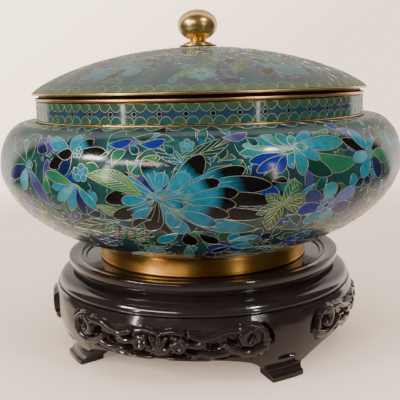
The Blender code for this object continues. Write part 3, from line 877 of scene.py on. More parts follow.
def outer_petals(spray):
    for tip, width, glass, bend in OUTER_PETALS:
        spray.petals(HEART, (tip, width, glass, bend), widest=0.7, blunt=0.55)
        length, heading = span(spray.canvas, HEART, tip)
        cos, sin = math.cos(heading), math.sin(heading)
        for side in (-VEIN_ASIDE, VEIN_ASIDE):
            points = []
            for t, grow in ((0.05, 0.1), (0.4, 0.7), (0.66, 1.0)):
                u, v = length * t, side * width * MM * grow + bend * length * 4 * t * (1 - t)
                points.append((u * cos - v * sin, u * sin + v * cos))
            vein(spray.canvas, HEART, points, spray.turn)


# %% Its inner petals, and the fine wires in its heart
def inner_petals(spray):
    for base, *row in (
        ((-9.5, 42), (-8, 33), 6.5, "turquoise"),
        ((-8, 42), (-2.5, 34), 7.5, "turquoise"),
        ((-6, 43), (4, 37.5), 6.5, "dipped"),
        ((-4, 45), (8, 43), 7.0, "dipped"),
        ((-4, 47), (7.5, 49.5), 7.0, "dipped"),
        ((-5, 49), (6, 56), 7.5, "smoked"),
        ((-6, 51), (3, 62), 8, "tipped"),
        ((-8, 52), (-6, 63), 7, "turquoise"),
        ((-11, 50), (-16, 58), 6, "turquoise"),
        ((-12, 46), (-18, 47), 5.5, "turquoise"),
    ):
        spray.petals(base, row, widest=0.68, blunt=0.55)
    spray.petals((-12, 44), ((-4, 50), 9, "tipped", -0.12))
    for k in range(10):
        away = math.radians(-74 + 15 * k)
        reach = (14 + 5 * math.sin(k * 2.4)) * MM
        end = (reach * math.cos(away), reach * math.sin(away))
        vein(spray.canvas, HEART, [(0, 0), (end[0] * 0.55, end[1] * 0.36), end], spray.turn)
    for k in range(4):
        away = math.radians(150 + 35 * k)
        vein(spray.canvas, HEART, [(0, 0), (6 * MM * math.cos(away), 6 * MM * math.sin(away))], spray.turn)
    spray.leaf((-13, 44), (-26.5, 35), 9, "bright", 8, 0.1)


# %% Black petals under the heart, and small curls
def under_the_heart(spray):
    for base, *row in (
        ((-4, 67), (-3, 82), 8, "black"),
        ((-1, 68), (4, 80), 7, "black"),
        ((-6, 68), (-12, 78), 7, "turquoise"),
        ((-12, 58), (-17, 64), 4, "brown", 0.2),
    ):
        spray.petals(base, row)
    for at in ((-20, 66), (-18.4, 68.5), (-21, 69), (-19, 71)):
        dot(spray.canvas, at, 1.2, "ochre", spray.turn)
    for at in ((-23, 65), (-15, 68), (-23.5, 72), (-16, 74)):
        spray.bloom(at, 3.4, "teal")


# %% Olive leaves and the lavender rose
def leaves_and_rose(spray):
    for tip, width, glass, bend in (
        ((21, 38), 8, "green", 0.08),
        ((14, 45), 6, "olive", 0),
        ((12.5, 56), 7, "green", 0),
        ((17, 69), 9, "olive", 0.1),
        ((27.5, 61), 8, "green", -0.1),
        ((25, 47), 6, "olive", 0),
    ):
        spray.leaf((18.5, 51), tip, width, glass, 4, bend)
    spray.petals(
        (31, 55),
        ((31, 42), 9, "mist"),
        ((24, 46), 8, "violet"),
        ((39, 48), 9, "lavender"),
        ((23, 56), 8, "cobalt"),
        ((40, 60), 9, "violet"),
        ((27, 67), 8, "turquoise"),
        ((34, 68), 9, "mist"),
        widest=0.7,
        blunt=0.5,
    )
    spray.bloom((31, 55), 5.5, "lavender", heart="cobalt", start=-60)


# %% The lower blossoms, and a few petals along the shoulder
def last_flowers(spray):
    spray.petals((7, 78), ((9, 70), 6, "turquoise"), ((15, 74), 6, "mist"), ((13, 82), 6, "turquoise"))
    for tip, glass in (((1, 84), "cobalt"), ((3, 94), "navy"), ((12, 95), "cobalt"), ((15, 87), "turquoise")):
        spray.petals((8, 84), (tip, 7, glass))
    spray.petals((-4, 80), ((-5, 106), 5.5, "shell"))
    for centre, radius, glass in (
        ((-28, 79), 8, "violet"),
        ((-50, 84), 8, "turquoise"),
        ((29, 84), 8, "cobalt"),
        ((50, 68), 9, "navy"),
        ((-15, 90), 6, "turquoise"),
        ((-52, 58), 8, "cobalt"),
    ):
        spray.bloom(centre, radius, glass, petals=6)
    spray.bloom((-3, 20), 3.6, "turquoise")
    for x, y, glass in ((-19, 18, "cobalt"), (-11, 18, "cobalt"), (8, 15, "violet"), (57, 17, "navy")):
        spray.petals((x - 3, y + 1), ((x + 3, y - 1), 5, glass, 0.1))
        spray.petals((x + 2.6, y + 1.5), ((x + 5, y + 6), 4, "sea"))


# %% Three sprays round the bowl
PARTS = (
    back_leaves,
    left_flowers,
    shoulder_flowers,
    outer_flowers,
    outer_petals,
    inner_petals,
    under_the_heart,
    leaves_and_rose,
    last_flowers,
)
SWAPS = (
    {},
    {"cobalt": "violet", "green": "olive", "dipped": "smoked", "violet": "turquoise", "forest": "teal"},
    {"turquoise": "mist", "lavender": "cobalt", "olive": "bright", "brown": "navy", "black": "navy"},
)
for k, swap in enumerate(SWAPS):
    spray = Spray(bowl_canvas, FRONT + k * math.tau / len(SWAPS), swap)
    for draw_part in PARTS:
        draw_part(spray)
border(bowl_canvas, 60, 0.9 * MM, 9.5 * MM, ["fern", "moss"])
print("bowl:", len(bowl_canvas.cells), "cells")

# %% [markdown]
# ### Painted shade on the shoulder
#
# The glass on the shoulder is painted darker than on the belly: painted shade, which keeps it from
# looking washed out under the light from above. One multiplication over the canvas does it.

# %% Paint shade on the shoulder
SHADED = 24 * MM
# painted shade: the glass colour is darkened by up to 40 percent at the top of the shoulder, fading out 24 mm
# down
bowl_canvas.colour *= 0.6 + 0.4 * np.clip(bowl_canvas.down / SHADED, 0, 1)[:, None, None]
print("shoulder darkened over the first", round(SHADED / MM), "mm")

# %% [markdown]
# ## The lid's flowers
#
# Seen from the side the lid shows mostly its outer half, so its flowers are larger and paler
# there. Five chrysanthemums stand round it, with leaves between them.

# %% Flowers on the lid
def daisy(canvas, centre, radius, glasses, petals=11, turn=0.0):
    """A flower of two rings of long petals round a dotted heart."""
    middle = canvas.place(centre[1] * MM)[0]
    for ring, share in ((0, 1.0), (1, 0.62)):
        for k in range(petals):
            heading = math.tau * (k + ring / 2) / petals
            reach = radius * share * (1 + 0.12 * math.sin(k * 2.1))
            across = math.degrees(reach * MM * math.cos(heading) / middle)
            tip = (centre[0] + across, centre[1] + reach * math.sin(heading))
            glass = glasses[(k + ring) % len(glasses)]
            petal(canvas, centre, tip, radius * share * 0.5, glass, widest=0.7, turn=turn)
    dot(canvas, centre, radius * 0.16, "ochre", turn)


scatter(lid_canvas, 420, 16, 98, GROUND, 15)
for k in range(5):
    daisy(lid_canvas, (72 * k - 34, 76), 20, ["turquoise", "mist", "dipped", "tipped"], turn=FRONT)
    ribbed(lid_canvas, (72 * k - 8, 92), (72 * k + 6, 70), 11, "green", 5, 0.1, FRONT)
    ribbed(lid_canvas, (72 * k + 12, 90), (72 * k + 20, 72), 9, "olive", 5, -0.1, FRONT)
    blossom(lid_canvas, (72 * k + 1, 89), 8, "mist", petals=6, turn=FRONT)
    blossom(lid_canvas, (72 * k - 10, 62), 7, "cobalt", turn=FRONT)
for k in range(4):
    daisy(lid_canvas, (90 * k + 20, 40), 15, ["turquoise", "cobalt", "mist"], 9, turn=FRONT)
border(lid_canvas, 24, 12.0 * MM, 5.0 * MM, ["forest", "teal"])
border(lid_canvas, 72, lid_canvas.length - 0.3 * MM, -5.0 * MM, ["moss", "fern"])
print("lid:", len(lid_canvas.cells), "cells")

# %% [markdown]
# ### The painted reflection
#
# Seen at a grazing angle, the lid's glaze mirrors the pale wall, and that hides most of the
# pattern. Here the reflection is painted into the cells: grey over the dome and greener over the
# scallops. A cloudy second shell of glass could give a like wash, but light would have to find its way
# through it. Mixing its colour into the cells gives the same look at no cost.

# %% Mix the painted reflection into the cells
# painted reflection: a grey wash for the pale wall mirrored at a grazing angle, greener near the rim over the
# scallops
PAINTED_SHEEN, PAINTED_SHEEN_GREEN = np.array(linear(70, 71, 61)), np.array(linear(68, 80, 46))
SHEEN_SHARE = 0.6
GREEN_BAND = 6 * MM
at_rim = np.clip((lid_canvas.down - lid_canvas.length + GREEN_BAND) / (2 * MM), 0, 1)[:, None, None]
painted_sheen = PAINTED_SHEEN + (PAINTED_SHEEN_GREEN - PAINTED_SHEEN) * at_rim
lid_canvas.colour = lid_canvas.colour * (1 - SHEEN_SHARE) + SHEEN_SHARE * painted_sheen
print("milky coat mixed in,", round(GREEN_BAND / MM), "mm of it green")

# %% [markdown]
# ## Bending the wires
#
# Every outline and vein that was kept becomes a ridge of brass. Where a later cell lies over an
# earlier wire, that stretch of the wire is left out. What remains follows the curve of the
# surface: its feet are sunk in the glass, and its back is narrower and stands a little proud.

# %% Which stretches of a wire are seen
def box_cells(canvas):
    """Each cell's middle and reach round the axis, and its highest and lowest place."""
    boxes = []
    for angle, down, outline in canvas.cells:
        low, high = outline.min(axis=0), outline.max(axis=0)
        reach = max(abs(low[0]), abs(high[0])) / canvas.narrowest(down + low[1], down + high[1])
        boxes.append((angle, reach, down + low[1], down + high[1]))
    return np.array(boxes)


def seen_runs(canvas, kept, boxes):
    """Cuts a wire where a later cell covers it, and yields what is left."""
    order, angle, down, line, width = kept
    y = down + line[:, 1]
    x_angle = angle + line[:, 0] / np.maximum(canvas.place(y)[0], LEAST_RADIUS)
    seen = (y > 0) & (y < canvas.length)
    middle, half = (x_angle.max() + x_angle.min()) / 2, (x_angle.max() - x_angle.min()) / 2
    apart = abs((boxes[:, 0] - middle + math.pi) % math.tau - math.pi)
    near = (apart < boxes[:, 1] + half) & (boxes[:, 2] < y.max()) & (boxes[:, 3] > y.min())
    near[:order] = False
    for k in np.nonzero(near)[0]:
        other_angle, other_down, outline = canvas.cells[k]
        turn = (x_angle - other_angle + math.pi) % math.tau - math.pi
        seen &= ~inside(outline * 0.995, turn * canvas.place(y)[0], y - other_down)
    start = None
    for i, show in enumerate(np.append(seen, False)):
        if show and start is None:
            start = i
        if not show and start is not None:
            if i - start > 2:
                yield x_angle[start:i], y[start:i], width
            start = None


# %% Ridges that follow the surface
PROUD = 0.10 * MM  # how far a wire stands above the glass
SUNK = 0.12 * MM  # how deep its feet go into it
END_DIP = 0.02 * MM  # its ends dip just under the surface
SLOPE_REACH = 0.4 * MM  # how far up and down the slope is measured


def wire_frame(canvas, angle, down):
    """Points on the surface, with the ways out of it and across a line through them."""
    radius, height = canvas.place(down)
    around = np.stack([np.cos(angle), np.sin(angle)], axis=1)
    point = np.column_stack([radius[:, None] * around, height])
    ahead = canvas.place(np.minimum(down + SLOPE_REACH, canvas.length))
    behind = canvas.place(np.maximum(down - SLOPE_REACH, 0.0))
    slope = np.stack([ahead[0] - behind[0], ahead[1] - behind[1]], axis=1)
    slope /= np.linalg.norm(slope, axis=1)[:, None]
    out = np.column_stack([-slope[:, 1:] * around, slope[:, 0]])
    along = np.gradient(point, axis=0)
    along /= np.linalg.norm(along, axis=1)[:, None] + 1e-12
    return point, out, np.cross(out, along)


def wirework(canvas, name, finish, body, thin=1.0):
    """All the wires as one piece: low rounded ridges that follow the surface."""
    verts, faces, base = [], [], 0
    boxes = box_cells(canvas)
    for kept in canvas.wires:
        for angle, down, width in seen_runs(canvas, kept, boxes):
            point, out, side = wire_frame(canvas, angle, down)
            side *= width * thin
            top = np.full(len(point), PROUD)
            top[[0, -1]] = -END_DIP
            crest, foot = point + out * top[:, None], point - out * SUNK
            section = [foot - side / 2, crest - side / 4, crest + side / 4, foot + side / 2]
            verts.append(np.stack(section, axis=1).reshape(-1, 3))
            faces.append(grid_faces(len(point), 4) + base)
            base += len(point) * 4
    verts, faces = np.concatenate(verts), np.concatenate(faces)
    print(f"{name}: {len(canvas.wires)} wires, {len(verts)} vertices")
    return add_piece(name, verts, faces, finish, body)


# %% [markdown]
# ## Firing
#
# The painted canvases become the enamel skins, each one closed solid in the place of its packed
# piece. The wires are made from the same outlines, standing a tenth of a millimetre proud, so
# light catches their edges. They could be bevelled curves, but thousands of short ones are far
# quicker as one mesh. Those on the lid are thinner, because the painted reflection in its cells mutes the
# pattern there.

# %% Enamel skins and their wires
bowl_skin = bowl_canvas.surface("bowl_enamel_skin", enamel, "bowl", ["bowl_enamel"], ENAMEL)
neck_skin = neck_canvas.surface("neck_enamel_skin", band_enamel, "bowl", ["neck_enamel"], ENAMEL)
lid_skin = lid_canvas.surface("lid_enamel_skin", lid_enamel, "lid", ["lid_enamel"], ENAMEL)
wires = [
    wirework(bowl_canvas, "bowl_cell_wires", wire_brass, "bowl"),
    wirework(neck_canvas, "neck_cell_wires", wire_brass, "bowl"),
    wirework(lid_canvas, "lid_cell_wires", wire_brass, "lid", thin=0.5),
]

# %% [markdown]
# ## Rims, wire and foot ring
#
# The mouth rim and foot ring are brass bands soldered to the copper, and a brass wire hides the
# seam where the neck meets the shoulder. All are turned profiles with softened corners: a bevel
# modifier would do it too, but a profile that is round already keeps its highlight even.

# %% Mouth rim and border wire
MOUTH_WALL = 4.0 * MM
rim_edge = [
    (mouth_high.x, mouth_high.z),
    (mouth_high.x, mouth_low.z),
    (NECK_RADIUS - MOUTH_WALL, mouth_low.z),
    (NECK_RADIUS - MOUTH_WALL, mouth_high.z),
]
mouth_rim = turned("turned_mouth_rim", soften(rim_edge, 0.9 * MM, 8), brass, "bowl", ["mouth_rim"])

wire_low, wire_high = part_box("shoulder_wire")
bead = arc(wire_high.x - 0.4 * MM, (wire_low.z + wire_high.z) / 2, 0.4 * MM, 0.4 * MM, 90, -90, 12)
bead += [(NECK_RADIUS - ENAMEL, wire_low.z), (NECK_RADIUS - ENAMEL, wire_high.z)]
border_wire = turned("turned_border_wire", bead, brass, "bowl", ["shoulder_wire"])

# %% Foot ring
foot_inside = FOOT_RADIUS - 2.2 * MM
foot_shoulder = FOOT_TOP - 0.8 * MM
foot_profile = [
    (FOOT_RADIUS - 1.9 * MM, foot_high.z),
    (FOOT_RADIUS - 0.4 * MM, FOOT_TOP - 0.1 * MM),
    (FOOT_RADIUS, foot_shoulder),
]
fall = foot_shoulder - foot_low.z - 2 * FOOT_LIP
for t in np.linspace(0.1, 1, 12):
    foot_profile.append((FOOT_RADIUS - 0.35 * MM * math.sin(math.pi * t), foot_shoulder - fall * t))
foot_profile += arc(FOOT_RADIUS - FOOT_LIP / 2, foot_low.z + FOOT_LIP, FOOT_LIP, FOOT_LIP, 60, -90, 12)
foot_profile += [(foot_inside + 0.3 * MM, foot_low.z), (foot_inside, foot_low.z + 0.3 * MM)]
foot_profile += [(foot_inside, foot_high.z)]
foot_ring = turned("turned_foot_ring", foot_profile, old_brass, "bowl", ["foot_ring"])

# %% [markdown]
# ## The lid's rim
#
# The lid's rim is turned from the solid. A flange drops inside the mouth and keeps the lid from
# sliding, and a step cut under the edge leaves a thin dark groove between lid and mouth. The
# faces in the groove get a dark red brass, painted shade so that the groove stays dark: a second
# slot on the same mesh does it, since the colour changes exactly at a turned corner.

# %% The lid's rim, with painted shade in its groove
GROOVE_DEPTH = 3.8 * MM
step = lid_high.z - 1.3 * MM
flange_outside = NECK_RADIUS - 4.7 * MM
flange_inside = flange_outside - 1.2 * MM
seat = mouth_high.z + FIT
lid_edge = [
    (LID_RADIUS, lid_high.z),
    (LID_RADIUS, step),
    (LID_RADIUS - GROOVE_DEPTH, step),
    (LID_RADIUS - GROOVE_DEPTH, seat),
    (flange_outside, seat),
    (flange_outside, lid_low.z),
    (flange_inside, lid_low.z),
    (flange_inside, lid_high.z),
]
lid_rim = turned("turned_lid_rim", soften(lid_edge, 0.35 * MM, 6), brass, "lid", ["lid_rim"])
# the second slot holds the dark brass that paints the shade in the groove
lid_rim.data.materials.append(painted_shade_brass)
for face in lid_rim.data.polygons:
    reach = math.hypot(face.center.x, face.center.y)
    in_groove = flange_outside + 0.1 * MM < reach < LID_RADIUS - 0.9 * MM
    if in_groove and face.center.z < step + 0.05 * MM:
        face.material_index = 1

# %% [markdown]
# ## The knob
#
# The knob is turned in one piece: a flattened ball, a waist and a flared foot. It sits on a
# round plate and is drawn down by a stud and nut from underneath, so both have a hole up the
# middle. Its sizes come from the frame, and the ball is an arc of an ellipse.

# %% The knob and its plate
STUD_HOLE = 2.3 * MM
WAIST = 5.1 * MM
knob_foot = knob_low.z
ball_rise = 9.6 * MM
ball = arc(0, knob_high.z - ball_rise, 12.5 * MM, ball_rise, 90, -65.5, 48)
waist_top = ball[-1][1]
flare = [(WAIST + 0.05 * MM, waist_top - 0.4 * MM)]
for t in np.linspace(0, 1, 14):
    drop = (waist_top - knob_foot - 1.5 * MM) * t
    flare.append((WAIST + 3.9 * MM * t**2.2, waist_top - 0.7 * MM - drop))
flare += arc(8.5 * MM, knob_foot + 0.4 * MM, 0.5 * MM, 0.4 * MM, 60, -90, 8)
hole_top = knob_foot + 11.3 * MM
socket = [(STUD_HOLE, knob_foot), (STUD_HOLE, hole_top), (0, hole_top)]
knob = turned("turned_knob", ball + flare + socket, brass, "lid", ["knob"], 128)
plate_edge = [
    (plate_high.x, plate_high.z),
    (plate_high.x, plate_low.z),
    (STUD_HOLE, plate_low.z),
    (STUD_HOLE, plate_high.z),
]
plate = turned("turned_knob_plate", soften(plate_edge, 0.4 * MM, 6), brass, "lid", ["knob_plate"], 128)

# %% [markdown]
# ## The blue linings
#
# Glass shrinks as it cools, so enamel on one side alone would warp the copper and crack. The
# inside is therefore enamelled too, in a plain blue, and so is the hollow of the foot. Each
# lining is one turned solid between two offsets of the outer curve, just as thick as its piece.

# %% The bowl's lining
LINING_DEPTH = 2.9 * MM
belly = bowl_outline()


def wall_outline(depth):
    """Inside the neck, down the belly and across the floor, at a depth under the surface."""
    neck = NECK_RADIUS - depth
    floor = FOOT_TOP - 1.0 * MM + depth
    curve = [(neck, mouth_low.z - FIT), (neck, CROWN - depth)]
    curve += [tuple(point) for point in offset_curve(belly, depth)[::3]]
    curve += [(FOOT_RADIUS / 2, floor), (0.0, floor)]
    return curve


bowl_walls = wall_outline(LINING_DEPTH) + wall_outline(LINING_DEPTH + LINING)[::-1]
bowl_lining = turned("bowl_lining_skin", bowl_walls, lining, "bowl", ["bowl_lining_enamel"])

# %% The glass in the foot's hollow, and the lid's lining
base_low, base_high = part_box("base_enamel")
base_profile = [(0, base_high.z), (base_high.x, base_high.z), (base_high.x, base_low.z), (0, base_low.z)]
base_skin = turned("base_enamel_skin", soften(base_profile, 0.3 * MM), lining, "bowl", ["base_enamel"])
dome = [(r, dome_height(r)) for r in np.linspace(CENTRE_HOLE, LID_EDGE - ENAMEL, 60)]


def dome_wall(depth):
    """The dome's curve at a depth under the surface, from the hole to just above the rim."""
    curve = offset_curve(dome, depth)
    curve[-1] = (LID_EDGE - depth - FIT, lid_high.z + FIT)
    curve[0, 0] = CENTRE_HOLE
    return [tuple(point) for point in curve if point[1] >= lid_high.z + FIT - 1e-6]


lid_walls = dome_wall(LINING_DEPTH) + dome_wall(LINING_DEPTH + LINING)[::-1]
lid_lining = turned("lid_lining_skin", lid_walls, lining, "lid", ["lid_lining_enamel"])

# %% [markdown]
# ## Copper, stud, washer and nut
#
# These pieces hardly show: the copper is hidden between the two layers of glass, and the stud,
# washer and nut only appear when the lid is turned over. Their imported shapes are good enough, so
# they are only given their metals.

# %% Finishes for the pieces that are shown as they were packed
for node, finish in (
    ("bowl_copper_body", copper),
    ("lid_copper_dome", copper),
    ("knob_stud", brass),
    ("knob_washer", brass),
    ("knob_nut", brass),
):
    slots = bpy.data.objects[node].data.materials
    slots.clear()
    slots.append(finish)
print("metal and linings made")

# %% [markdown]
# ## The stand's turned rings
#
# The stand is joined from turned rings and carved boards. On top is a ring with two fine beads
# round the recess for the bowl's seat panel, then a hollow, a swelling moulding and under it the
# carved drum. The rings and the panel are turned, like the brass.

# %% The top ring
recess = panel_high.x + FIT
shelf = ring_high.z - 1.9 * MM
ring_profile = [(recess, shelf), (recess + 1.6 * MM, shelf)]
ring_profile += arc(recess + 1.9 * MM, shelf + 0.1 * MM, 0.35 * MM, 0.35 * MM, 160, 20, 5)
ring_profile += [(recess + 2.6 * MM, shelf), (recess + 2.7 * MM, ring_high.z - 0.4 * MM)]
ring_profile += arc(recess + 3.2 * MM, ring_high.z - 0.4 * MM, 0.4 * MM, 0.4 * MM, 160, 20, 6)
ring_profile += [(recess + 3.9 * MM, ring_high.z - 0.4 * MM), (recess + 4.3 * MM, ring_high.z - 0.1 * MM)]
ring_profile += arc(ring_high.x - 1.0 * MM, ring_high.z - 1.0 * MM, 1.0 * MM, 1.0 * MM, 90, 0, 9)
for t in np.linspace(0.15, 1, 10):
    drop = t * (ring_high.z - 1.0 * MM - ring_low.z)
    ring_profile.append((ring_high.x - 1.6 * MM * t**2, ring_high.z - 1.0 * MM - drop))
ring_profile += [(recess, ring_low.z)]
top_ring = turned("carved_top_ring", ring_profile, wood, "stand", ["stand_top_ring"])

# %% The seat panel
panel_edge = [(0, panel_high.z), (panel_high.x, panel_high.z), (panel_high.x, panel_low.z), (0, panel_low.z)]
seat_panel = turned("seat_panel_board", soften(panel_edge, 0.4 * MM), wood, "stand", ["stand_seat_panel"])

# %% The moulding
cove = ring_high.x - 3.8 * MM
ledge = recess - 5.0 * MM
cove_height = 0.2 * (moulding_high.z - moulding_low.z)
lip = 0.9 * MM
swell = moulding_high.z - cove_height - moulding_low.z - lip
moulding_profile = [(ledge, moulding_high.z), (cove, moulding_high.z)]
moulding_profile += [(cove, moulding_high.z - cove_height * 0.6)]
for t in np.radians(np.linspace(6, 84, 26)):
    out = (moulding_high.x - cove) * math.sin(t)
    moulding_profile.append((cove + out, moulding_low.z + lip + swell * math.cos(t)))
bead = lip / 2
moulding_profile += arc(moulding_high.x - 0.4 * MM, moulding_low.z + bead, bead, bead, 60, -90, 8)
moulding_profile += [(ledge, moulding_low.z)]
moulding = turned("carved_moulding", moulding_profile, wood, "stand", ["stand_moulding_ring"])

# %% [markdown]
# ## The carved drum
#
# Four aprons and four legs make a drum that swells at the middle, narrows to an ankle and turns
# out again at the toes. The carver sinks the ground between the scrolls and undercuts their
# edges, so the carving is drawn by its shadows. Sculpting it by hand would not be repeatable.
# Here each scroll is a stroke with a round back, and the surface is raised to the highest stroke
# at every point. Pits are sunk where the knife went deepest.

# %% The drum's outline
DRUM_TOP = moulding_low.z - FIT
DRUM_TOP_RADIUS = moulding_high.x + 0.8 * MM
DRUM_RADIUS = DRUM_TOP_RADIUS + 2.0 * MM
ANKLE_RADIUS = DRUM_RADIUS - 8.1 * MM
TOE_RADIUS = ANKLE_RADIUS + 3.9 * MM
FULLEST, ANKLE, TOE = 32.0 * MM, 6.0 * MM, 2.7 * MM


def drum_radius(z, toe):
    """The drum's outside at a height; toe is 1 where the foot turns out and 0 where it doesn't."""
    upper = DRUM_RADIUS + (DRUM_TOP_RADIUS - DRUM_RADIUS) * ((z - FULLEST) / (DRUM_TOP - FULLEST)) ** 2
    lower = DRUM_RADIUS + (ANKLE_RADIUS - DRUM_RADIUS) * ((FULLEST - z) / (FULLEST - ANKLE)) ** 2
    share = np.clip((ANKLE - z) / (ANKLE - TOE), 0, 1)
    foot = ANKLE_RADIUS + toe * (TOE_RADIUS - ANKLE_RADIUS) * share**2
    return np.where(z >= FULLEST, upper, np.where(z >= ANKLE, lower, foot))


# %% Strokes and pits, the carver's two marks
def stroke_height(x, z, points, width, height, tail=1.0):
    """How high a round-backed stroke stands at each place; its far end narrows to tail."""
    best = np.zeros_like(x)
    count = len(points) - 1
    for i, (a, b) in enumerate(zip(points, points[1:])):
        ab = b - a
        t = np.clip(((x - a[0]) * ab[0] + (z - a[1]) * ab[1]) / max(ab @ ab, 1e-9), 0, 1)
        away = np.hypot(x - a[0] - t * ab[0], z - a[1] - t * ab[1])
        here = width * (1 + (tail - 1) * (i + t) / count)
        back = (1 - np.clip(away / here, 0, 1) ** 2.4) ** 0.6
        best = np.maximum(best, height * back * (0.5 + 0.5 * here / width))
    return best


def curl(x, z, radius, turns, start, hand=1, points=30):
    """A scroll that winds inwards round (x, z)."""
    t = np.linspace(0, 1, points)
    angle = np.radians(start) + hand * math.tau * turns * t
    r = radius * (1 - 0.82 * t)
    return np.stack([x + r * np.cos(angle), z + r * np.sin(angle)], axis=1)


def sweep(*places):
    """A smooth curve through places, for a stem or a leaf."""
    places = np.asarray(places, dtype=float)
    t = np.linspace(0, len(places) - 1, 6 * len(places))
    return np.stack([smooth_through(places[:, c], t) for c in range(2)], axis=1)


def pit(x, z, at, wide, tall, depth, lean=0.0):
    """A steep-sided hollow, wide and tall, that may lean to one side."""
    dx, dz = x - at[0], z - at[1]
    away = np.hypot((dx + lean * dz) / wide, dz / tall)
    return -depth * np.clip(2.4 * (1 - away), 0, 1)


# %% [markdown]
# ### The pattern of an apron
#
# The carver's drawing is symmetrical, so it is listed for one half only, in millimetres: how far
# from the middle of the apron and how high above the table. A volute at each end, long leaves
# along the top and bottom, and two small scrolls with a five-lobed leaf between them.

# %% Strokes and pits of one half
VOLUTES = (
    # middle, radius, turns, start, hand, width, height, tail
    ((50, 30), 6.2, 0.8, 80, 1, 3.2, 2.5, 0.5),
    ((10.5, 27.4), 4.0, 1.1, 60, -1, 2.1, 2.8, 0.8),
)
STEMS = (
    # places, then width, height, tail
    (((59, 27), (57.5, 34), (50, 37.6), (42.5, 35.5)), 2.2, 2.8, 0.7),
    (((58, 24), (50, 21.4), (42, 23.6), (36, 27.5)), 2.8, 2.4, 0.7),
    (((43, 36), (36, 35.6), (30, 33), (23, 31.6), (17, 33.6)), 2.6, 2.5, 0.6),
    (((37, 23), (30, 21.6), (23, 22.4), (19, 21)), 2.2, 2.0, 0.8),
    (((24, 29), (20, 27.6), (13, 29), (8, 32.4)), 2.4, 2.4, 0.6),
    (((13, 34.6), (8, 35.6), (2, 34.4)), 1.8, 2.2, 0.8),
    (((27, 19.6), (17, 19.2), (5, 19.4)), 1.4, 1.9, 0.9),
)
PITS = (
    # middle, half width, half height, lean
    ((40.5, 29.8), 3.4, 2.6, 0.5),
    ((29.5, 27), 3.8, 2.3, -0.3),
    ((17.5, 24.6), 4.2, 2.4, 0.7),
    ((18.5, 30.2), 2.2, 1.2, 0.2),
    ((4.6, 28.6), 1.5, 1.5, 0.0),
    ((48.0, 25.2), 2.6, 1.2, 0.3),
    ((11.0, 21.6), 5.4, 0.9, 0.0),
    ((33.5, 19.8), 3.4, 0.7, 0.0),
    ((60.5, 31.5), 3.0, 6.4, 0.34),
)
PIT_DEPTH = 3.8


# %% The carved surface
def scrolls(x, z):
    """The raised strokes: both halves, and the leaf in the middle."""
    raised = np.zeros_like(x)
    for side in (-1, 1):
        for (cx, cz), radius, turns, start, hand, *mark in VOLUTES:
            points = curl(side * cx, cz, radius, turns, start, side * hand)
            raised = np.maximum(raised, stroke_height(x, z, points, *mark))
        for places, *mark in STEMS:
            points = sweep(*((side * px, pz) for px, pz in places))
            raised = np.maximum(raised, stroke_height(x, z, points, *mark))
    for turn in (-60, -30, 0, 30, 60):
        lean = math.radians(turn)
        tip = (8.4 * math.sin(lean), 23.5 + 9.4 * math.cos(lean))
        lobe = sweep((0, 23.5), (tip[0] * 0.6, tip[1] - 3.5), tip)
        raised = np.maximum(raised, stroke_height(x, z, lobe, 2.3, 2.7, 0.7))
    return raised


def carving(x, z):
    """Height of the carving, in millimetres: x from an apron's middle, z above the table.

    It runs on over the joints, until a deep notch ends it at the smooth face of a leg.
    """
    ends = np.clip((60 - abs(x)) / 1.5, 0, 1)
    top_edge = np.clip((36.5 + 1.5 * (x / 55) ** 2 - z) / 1.0, 0, 1)
    ground = -0.9 * top_edge * np.clip((z - 19.4) / 1.5, 0, 1) * ends
    raised = scrolls(x, z)
    middle = np.clip(1 - np.hypot(x / 9, (z - 30.5) / 2.4), 0, 1)
    seeds = 0.5 * np.sin(x * 2.4) * np.sin(z * 2.4) * middle
    holes = np.zeros_like(x)
    for side in (-1, 1):
        for (cx, cz), wide, tall, lean in PITS:
            holes = np.minimum(holes, pit(x, z, (side * cx, cz), wide, tall, PIT_DEPTH, side * lean))
    worked = np.where(raised > 0.05, np.maximum(raised - 0.3, ground), ground) + seeds * ends
    return worked + holes * (raised < 2.0)


def leg_relief(x, z):
    """A leg's smooth face, with a groove over the foot and a line round the toe."""
    groove = pit(x, z, (-2.0, 14.2), 7.5, 1.5, 1.5)
    line = -0.5 * np.clip(1 - abs(z - 3.4) / 0.5, 0, 1)
    hand = 0.12 * np.sin(0.31 * x + 0.2 * z) * np.sin(0.23 * z + 1)
    return groove + line + hand


# %% [markdown]
# ### Cutting the boards
#
# An apron or a leg is a board bent round the axis. Its outside is a grid of points that the
# carving pushes out, its inside a plain grid a fixed depth behind, and a wall of faces joins them
# all round, so the piece is closed. Each is made once for each quarter of the drum.

# %% A board bent round the axis
def board(name, angle, z, radius, relief, depth, turn, replaced):
    """A board bent round the axis, its carved outside and plain inside closed all round."""
    def sheet(r):
        return np.stack([r * np.cos(angle + turn), r * np.sin(angle + turn), z], axis=2)

    rows, columns = angle.shape
    verts = np.concatenate([sheet(radius + relief), sheet(radius - depth)[::-1]])
    walls = grid_faces(2 * rows, columns, wrap_rows=True, wrap_columns=False)
    i = np.arange(rows - 1)
    loop = [i, i + 1, 2 * rows - 2 - i, 2 * rows - 1 - i]
    far = np.stack([k * columns + columns - 1 for k in loop], axis=1)
    near = np.stack([k * columns for k in loop], axis=1)[:, ::-1]
    faces = np.concatenate([walls, far, near])
    piece = add_piece(name, verts.reshape(-1, 3), faces, wood, "stand", [replaced])
    print(f"{name}: {len(faces)} faces")


# %% Four aprons
APRON_HALF = math.radians(30) - FIT / ANKLE_RADIUS
share, level = np.meshgrid(np.linspace(-1, 1, 200), np.linspace(0, 1, 56))
apron_angle = share * APRON_HALF
lower_edge = 19.0 * MM - 4.5 * MM * abs(share) ** 4
apron_z = DRUM_TOP + (lower_edge - DRUM_TOP) * level
apron_radius = drum_radius(apron_z, 0)
apron_carving = carving(apron_angle * DRUM_RADIUS / MM, apron_z / MM) * MM
for n in range(1, 5):
    names = f"carved_apron_{n}", f"stand_apron_{n}"
    board(names[0], apron_angle, apron_z, apron_radius, apron_carving, 10 * MM, math.tau * n / 4, names[1])

